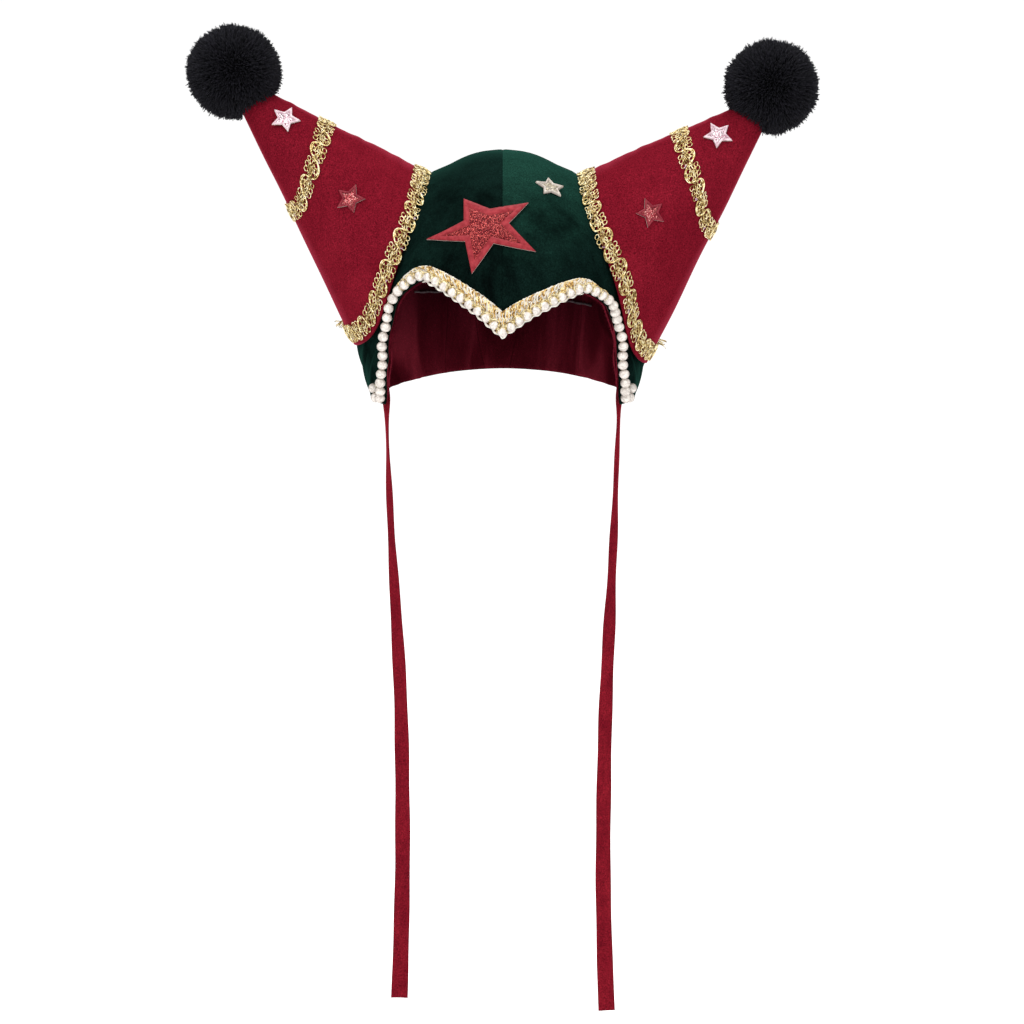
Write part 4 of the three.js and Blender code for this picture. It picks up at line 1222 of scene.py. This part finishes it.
def make_hem(material):
    """The lining's rolled edge, which shows beside the pearls, with a few loose threads."""
    tubes = Tubes()
    right = moved_edge(lambda share: -0.9 + 1.5 * smoothstep(0.45, 0.7, share), HEM_END)
    edge = mirrored(spaced(right, 300))
    away = smoothstep(40, 75, np.abs(edge[:, 0]))
    point = on_crown(edge, -1.5 - 1.2 * away)
    normal = crown_out(edge)
    step = np.arange(len(edge))
    roll = 0.8 - 0.25 * away + 0.1 * np.sin(step * 1.9) + 0.1 * np.sin(step * 0.7)
    tubes.add(point, normal, roll, 6)
    inward = np.cross(normal, unit(np.gradient(point, axis=0)))
    for i in range(20, len(edge) - 20, 2):
        t = np.linspace(0, 1, 4)[:, None]
        lean = inward[i] * RNG.uniform(-2.0, -0.9) + RNG.normal(0, 0.35, 3)
        tubes.add(point[i] + t * lean, normal[i] + np.zeros((4, 3)), 0.13, 3)
    show(tubes.build("lining_hem", material, "lining"))


def brow_width(share):
    return BROW_WIDTH + (BROW_NARROW - BROW_WIDTH) * smoothstep(*BROW_TAPER, share)


class BrowBand:
    """Places on the brow's braid: s from one end to the other, w from its pearls to its far edge."""

    def __init__(self):
        start = PEARL_SETBACK + PEARL_RADIUS - 1.2
        lowest = CORNER_HEIGHT + 3 * PEARL_RADIUS + PEARL_FOLD
        near = moved_edge(even(start), lowest)
        far = moved_edge(lambda share: start + 1.1 + brow_width(share), lowest)
        self.near = mirrored(spaced(near, 400))
        self.far = mirrored(spaced(far, 400))
        self.length = line_length(self.near)

    def flat(self, s, w):
        at = np.asarray(s, float) * (len(self.near) - 1)
        rows = np.arange(len(self.near))
        near = np.stack([np.interp(at, rows, self.near[:, k]) for k in (0, 1)], -1)
        far = np.stack([np.interp(at, rows, self.far[:, k]) for k in (0, 1)], -1)
        return near + (far - near) * np.asarray(w)[..., None]

    def place(self, s, w, h):
        flat = self.flat(s, w)
        return on_crown(flat, h), crown_out(flat)


def make_brow(materials):
    """A cream band under curls of gold and white thread, with bumps along its far edge."""
    band = BrowBand()
    s = np.linspace(0, 1, 500)
    edge = 0.9 + 0.04 * np.sin(s * band.length / BUMP_PITCH * TAU)
    zero = np.zeros_like(s)
    cuts = ((zero, 0.3), (edge, 0.3), (edge, 0.8), (edge * 0.5, 1.0), (zero, 0.8), (zero, 0.6))
    rows = [band.place(s, w, h)[0] for w, h in cuts]
    show(skin("brow_band", np.stack(rows, 1), False, materials["cream"], "gold_braid"), "pearl_braid")
    gold, white = Tubes(), Tubes()
    for tubes, first, last, lines, pitch, radius in ((gold, *GOLD_CURLS), (white, *WHITE_CURLS)):
        for w in np.linspace(first, last, lines):
            add_curls(tubes, band, w, pitch, radius)
    add_bumps(white, gold, band)
    show(white.build("brow_white", materials["white"], "gold_braid"))
    show(gold.build("brow_gold", materials["brow_gold"], "gold_braid"))


def add_curls(tubes, band, row, pitch, radius):
    """A row of small open curls of thread, each turned its own way."""
    for i in range(int(CURLED_SHARE * band.length / pitch)):
        size = RNG.uniform(1.0, 1.6)
        angle = RNG.uniform(0, TAU) + np.linspace(0, 4.4, 9)
        s = CURLS_START + (i * pitch + RNG.normal(0, 0.3) + size * np.cos(angle)) / band.length
        w = row + (RNG.normal(0, 0.3) + 1.25 * size * np.sin(angle)) / BROW_WIDTH
        h = 1.2 + 0.55 * np.sin(angle / 2) + RNG.uniform(0, 0.4)
        tubes.add(*band.place(s, np.clip(w, 0, 1.02), h), radius, 4)


def add_bumps(white, gold, band):
    """The row of small loops that stands out along the far edge, white and gold in turn."""
    for i in range(int(CURLED_SHARE * band.length / BUMP_PITCH)):
        angle = np.linspace(-0.4, math.pi + 0.4, 9)
        middle = i * BUMP_PITCH + RNG.normal(0, 0.15)
        s = CURLS_START + (middle + 0.9 * np.cos(angle)) / band.length
        w = 0.9 + RNG.normal(0, 0.02) + 0.12 * np.sin(angle)
        white.add(*band.place(s, w, 1.0 + 0.3 * np.sin(angle)), 0.5, 5)
        s = s + 0.5 * BUMP_PITCH / band.length
        gold.add(*band.place(s, w * 0.98, 1.3 + 0.3 * np.sin(angle)), 0.32, 4)


# Stars

def inset_corners(corners, distance):
    """The outline's corners moved in by the border's width, each along its mitre."""
    after = np.roll(corners, -1, 0)
    edge = unit(after - corners)
    inward = np.stack([-edge[:, 1], edge[:, 0]], 1)
    area = np.sum(corners[:, 0] * after[:, 1] - corners[:, 1] * after[:, 0])
    inward *= 1 if area > 0 else -1
    mitre = unit(np.roll(inward, 1, 0) + inward)
    stretch = distance / np.maximum(np.sum(mitre * inward, 1), SHARPEST_MITRE)
    return corners + mitre * stretch[:, None]


def subdivided(corners):
    t = np.linspace(0, 1, STAR_EDGE_STEPS, endpoint=False)[None, :, None]
    return (corners[:, None] * (1 - t) + np.roll(corners, -1, 0)[:, None] * t).reshape(-1, 2)


def star_sections(corners, border, thickness, place):
    """Radial sections of a star: a puffed middle, a groove, a rounded border and a flat back."""
    outer = subdivided(corners)
    inner = subdivided(inset_corners(corners, border))
    rings = []
    for share in np.linspace(0, 1, PUFF_RINGS):
        puff = thickness * (1.0 + 0.25 * math.sqrt(max(1 - share**2, 0)))
        rings.append(place(inner * share, puff - 0.35 * smoothstep(0.93, 1.0, share)))
    for share, rise in BORDER_RISE:
        rings.append(place(inner + (outer - inner) * share, thickness + rise))
    rings.append(place(outer, thickness * 0.7))
    rings.append(place(outer * 1.004, thickness * 0.3))
    rings.append(place(outer, 0.0))
    rings.append(place(outer * 0.5, 0.0))
    rings.append(place(outer * 0.0, 0.0))
    return np.stack(rings, 1)


def make_star(name, node, corners, border, thickness, place, materials, slot):
    sections = star_sections(corners, border, thickness, place)
    rows, size = sections.shape[:2]
    faces = ring_faces(rows, size, True)
    obj = add_object(name, sections.reshape(-1, 3), faces, materials[0], slot)
    for material in materials[1:]:
        obj.data.materials.append(material)
    ring = np.tile(np.arange(size), rows)
    border_start = PUFF_RINGS - 1
    back_start = PUFF_RINGS + len(BORDER_RISE)
    kind = np.where(ring < border_start, 0, np.where(ring < back_start, 1, 2))
    obj.data.polygons.foreach_set("material_index", kind.astype(np.int32))
    return show(weld(obj), node)


def polar(corners, reach):
    return np.array([(reach * r * math.cos(math.radians(a)), reach * r * math.sin(math.radians(a)))
                     for a, r in corners])


def make_large_star(materials):
    def place(offset, height):
        turn, lift = front_place(STAR_PLACE[0] + offset[:, 0], STAR_PLACE[1] + offset[:, 1])
        return crown_surface(turn, lift, SEAT_GAP + 0.4 + height + np.zeros(len(offset)))
    corners = polar(STAR_CORNERS, STAR_REACH)[::-1]
    make_star("star_large_foam", "star_large", corners, STAR_BORDER, STAR_THICKNESS, place,
              [materials["star"], materials["star_rim"], materials["backing"]], "red_glitter")


def flat_star_place(centre, normal, spin):
    """Lays a flat star on a surface, square to it at its middle."""
    normal = unit(np.asarray(normal, float))
    right = unit(np.cross([0, 0, 1.0], normal))
    up = np.cross(normal, right)
    c, s = math.cos(math.radians(spin)), math.sin(math.radians(spin))
    axes = np.stack([right * c + up * s, up * c - right * s])
    return lambda offset, height: centre + offset @ axes + normal * (height + LAYER_GAP)


def small_star_corners():
    return np.array([
        (math.cos(TAU * i / 10), math.sin(TAU * i / 10)) for i in range(10)
    ]) * SMALL_STAR_REACH * np.where(np.arange(10) % 2, SMALL_STAR_WAIST, 1)[:, None]


def crown_normal(x, z):
    step = 0.5
    places = [front_place(np.array(x + dx), np.array(z + dz))
              for dx, dz in ((step, 0), (-step, 0), (0, step), (0, -step))]
    a, b, c, d = [crown_point(turn, lift, 0.0) for turn, lift in places]
    return unit(np.cross(a - b, c - d))


def horn_front(horn, along, across):
    radius = along * math.tan(horn.spread)
    turn = math.acos(across / radius)
    here = horn_surface(horn, along, turn, np.array(0.0))
    normal = unit(np.cross(horn_point(horn, along + 0.01, turn, 0.0) - horn_point(horn, along, turn, 0.0),
                           horn_point(horn, along, turn + 0.01, 0.0) - horn_point(horn, along, turn, 0.0)))
    return here, normal if normal[1] < 0 else -normal


def make_small_stars(materials):
    x, z, spin = FRONT_STAR
    turn, lift = front_place(np.array(x), np.array(z))
    centre = crown_surface(turn, lift, np.array(0.3))
    silver = [materials["silver"], materials["silver_rim"], materials["backing"]]
    cream = [materials["cream_glitter"], materials["cream_rim"], materials["backing"]]
    red = [materials["small_star"], materials["small_rim"], materials["backing"]]
    shape = (small_star_corners(), SMALL_STAR_BORDER, SMALL_STAR_THICKNESS)
    front_place_at = flat_star_place(centre, crown_normal(x, z), spin)
    make_star("star_front_foam", "star_front_small", *shape, front_place_at, cream, "silver_glitter")
    for name, horn in HORN_FRAMES.items():
        for kind, place, looks in (("silver", SILVER_STAR, silver), ("red", RED_STAR, red)):
            seat, normal = horn_front(horn, *place)
            star_place = flat_star_place(seat, normal, STAR_SPINS[kind][name])
            make_star(f"star_{kind}_foam_{name}", f"star_{kind}_{name}", *shape, star_place, looks,
                      f"{kind}_glitter")


# Ties

def tie_route(side, length):
    inset = PANEL_WALL + LAYER_GAP + LINING_WALL + LAYER_GAP + TIE_THICKNESS / 2
    top = crown_point(math.radians(TIE_TURN), lift_at(0.0), -inset)
    route = catmull_rom([(-drop * length, inward * TIE_SWAY, turn) for drop, inward, turn in TIE_ROUTE], 12)
    across, ahead = side * (top[0] - route[:, 1]), np.full(len(route), top[1])
    return np.stack([across, ahead, TIE_SEWN + route[:, 0]], 1), np.radians(route[:, 2])


def make_tie(name, side, length, material):
    """A velvet ribbon: pile between two firm edges, curled a little across."""
    centre, turn = tie_route(side, length)
    dense = spaced(np.column_stack([centre, turn]), 220)
    centre, turn = dense[:, :3], dense[:, 3]
    wide = np.stack([side * np.cos(turn), np.sin(turn), np.zeros_like(turn)], 1)
    thick = np.stack([-wide[:, 1], wide[:, 0], np.zeros_like(turn)], 1)
    across, depth = np.array(TIE_SECTION).T
    drop = np.linspace(0, 1, len(centre))
    curl = (0.5 * np.sin(drop * 9 + side))[:, None] * (across**2)[None, :]
    ripple = 0.25 * np.sin(drop * 46)[:, None] * across[None, :]
    face = (depth * TIE_THICKNESS)[None, :, None] * thick[:, None]
    middle = centre[:, None] + across[None, :, None] * wide[:, None] * TIE_WIDTH / 2 \
        + (curl + ripple)[..., None] * thick[:, None]
    sections = np.concatenate([middle + face, (middle - face)[:, ::-1]], 1)
    ribbon = skin(f"ribbon_{name}", sections, False, material, "tie_velvet")
    show(ribbon, f"tie_{name}")


# Stage

def make_camera():
    data = bpy.data.cameras.new("camera")
    data.lens = CAMERA_LENS
    data.sensor_width = 36
    data.clip_end = 20
    camera = bpy.data.objects.new("camera", data)
    tilt = math.radians(CAMERA_ELEVATION)
    camera.location = CAMERA_TARGET + Vector((0, -math.cos(tilt), math.sin(tilt))) * CAMERA_DISTANCE
    camera.rotation_euler = (math.pi / 2 - tilt, 0, 0)
    bpy.context.scene.collection.objects.link(camera)
    bpy.context.scene.camera = camera


def make_floor():
    s = Shader("floor_paper", (0.93, 0.93, 0.93), 0.9, Specular_IOR_Level=0.1, Emission_Strength=0.28)
    s.main.inputs["Emission Color"].default_value = (1, 1, 1, 1)
    s.color(s.ramp(s.noise(3, 2), ((0.3, (0.92, 0.92, 0.92)), (0.7, (0.94, 0.94, 0.94)))))
    mesh = bpy.data.meshes.new("floor")
    corners = [(x * FLOOR_REACH, y * FLOOR_REACH, FLOOR_HEIGHT)
               for x, y in ((-1, -1), (1, -1), (1, 1), (-1, 1))]
    mesh.from_pydata(corners, [], [(0, 1, 2, 3)])
    mesh.materials.append(s.material)
    floor = bpy.data.objects.new("floor", mesh)
    bpy.context.scene.collection.objects.link(floor)


def add_light(name, place, aim, size, power):
    data = bpy.data.lights.new(name, "AREA")
    data.size = size
    data.energy = power
    light = bpy.data.objects.new(name, data)
    light.location = place
    light.rotation_euler = (Vector(aim) - Vector(place)).to_track_quat("-Z", "Y").to_euler()
    bpy.context.scene.collection.objects.link(light)


def make_lights():
    world = bpy.data.worlds.new("studio")
    world.use_nodes = True
    world.node_tree.nodes["Background"].inputs["Color"].default_value = (1, 1, 1, 1)
    world.node_tree.nodes["Background"].inputs["Strength"].default_value = 0.8
    bpy.context.scene.world = world
    for light in LIGHTS:
        add_light(*light)


def main():
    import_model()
    bpy.context.scene.view_settings.view_transform = "Standard"
    make_camera()
    materials = make_materials()
    for name, side in (("left", -1), ("right", 1)):
        make_tie(name, side, TIE_LENGTHS[name], materials["tie"])
    for side in (-1, 1):
        make_crown_panel(side, materials)
    make_lining(materials["lining"])
    make_stay(materials["tape"])
    for name, horn in HORN_FRAMES.items():
        make_horn(name, horn, materials["red"])
        make_pompom(name, horn, materials["yarn"])
        make_braids(name, horn, materials)
    flat, centres = make_pearls(materials["pearl"])
    make_pearl_thread(flat, centres, materials["gold"])
    make_edge_cord(materials["white"])
    make_hem(materials["lining"])
    make_brow(materials)
    make_large_star(materials)
    make_small_stars(materials)
    make_floor()
    make_lights()


main()
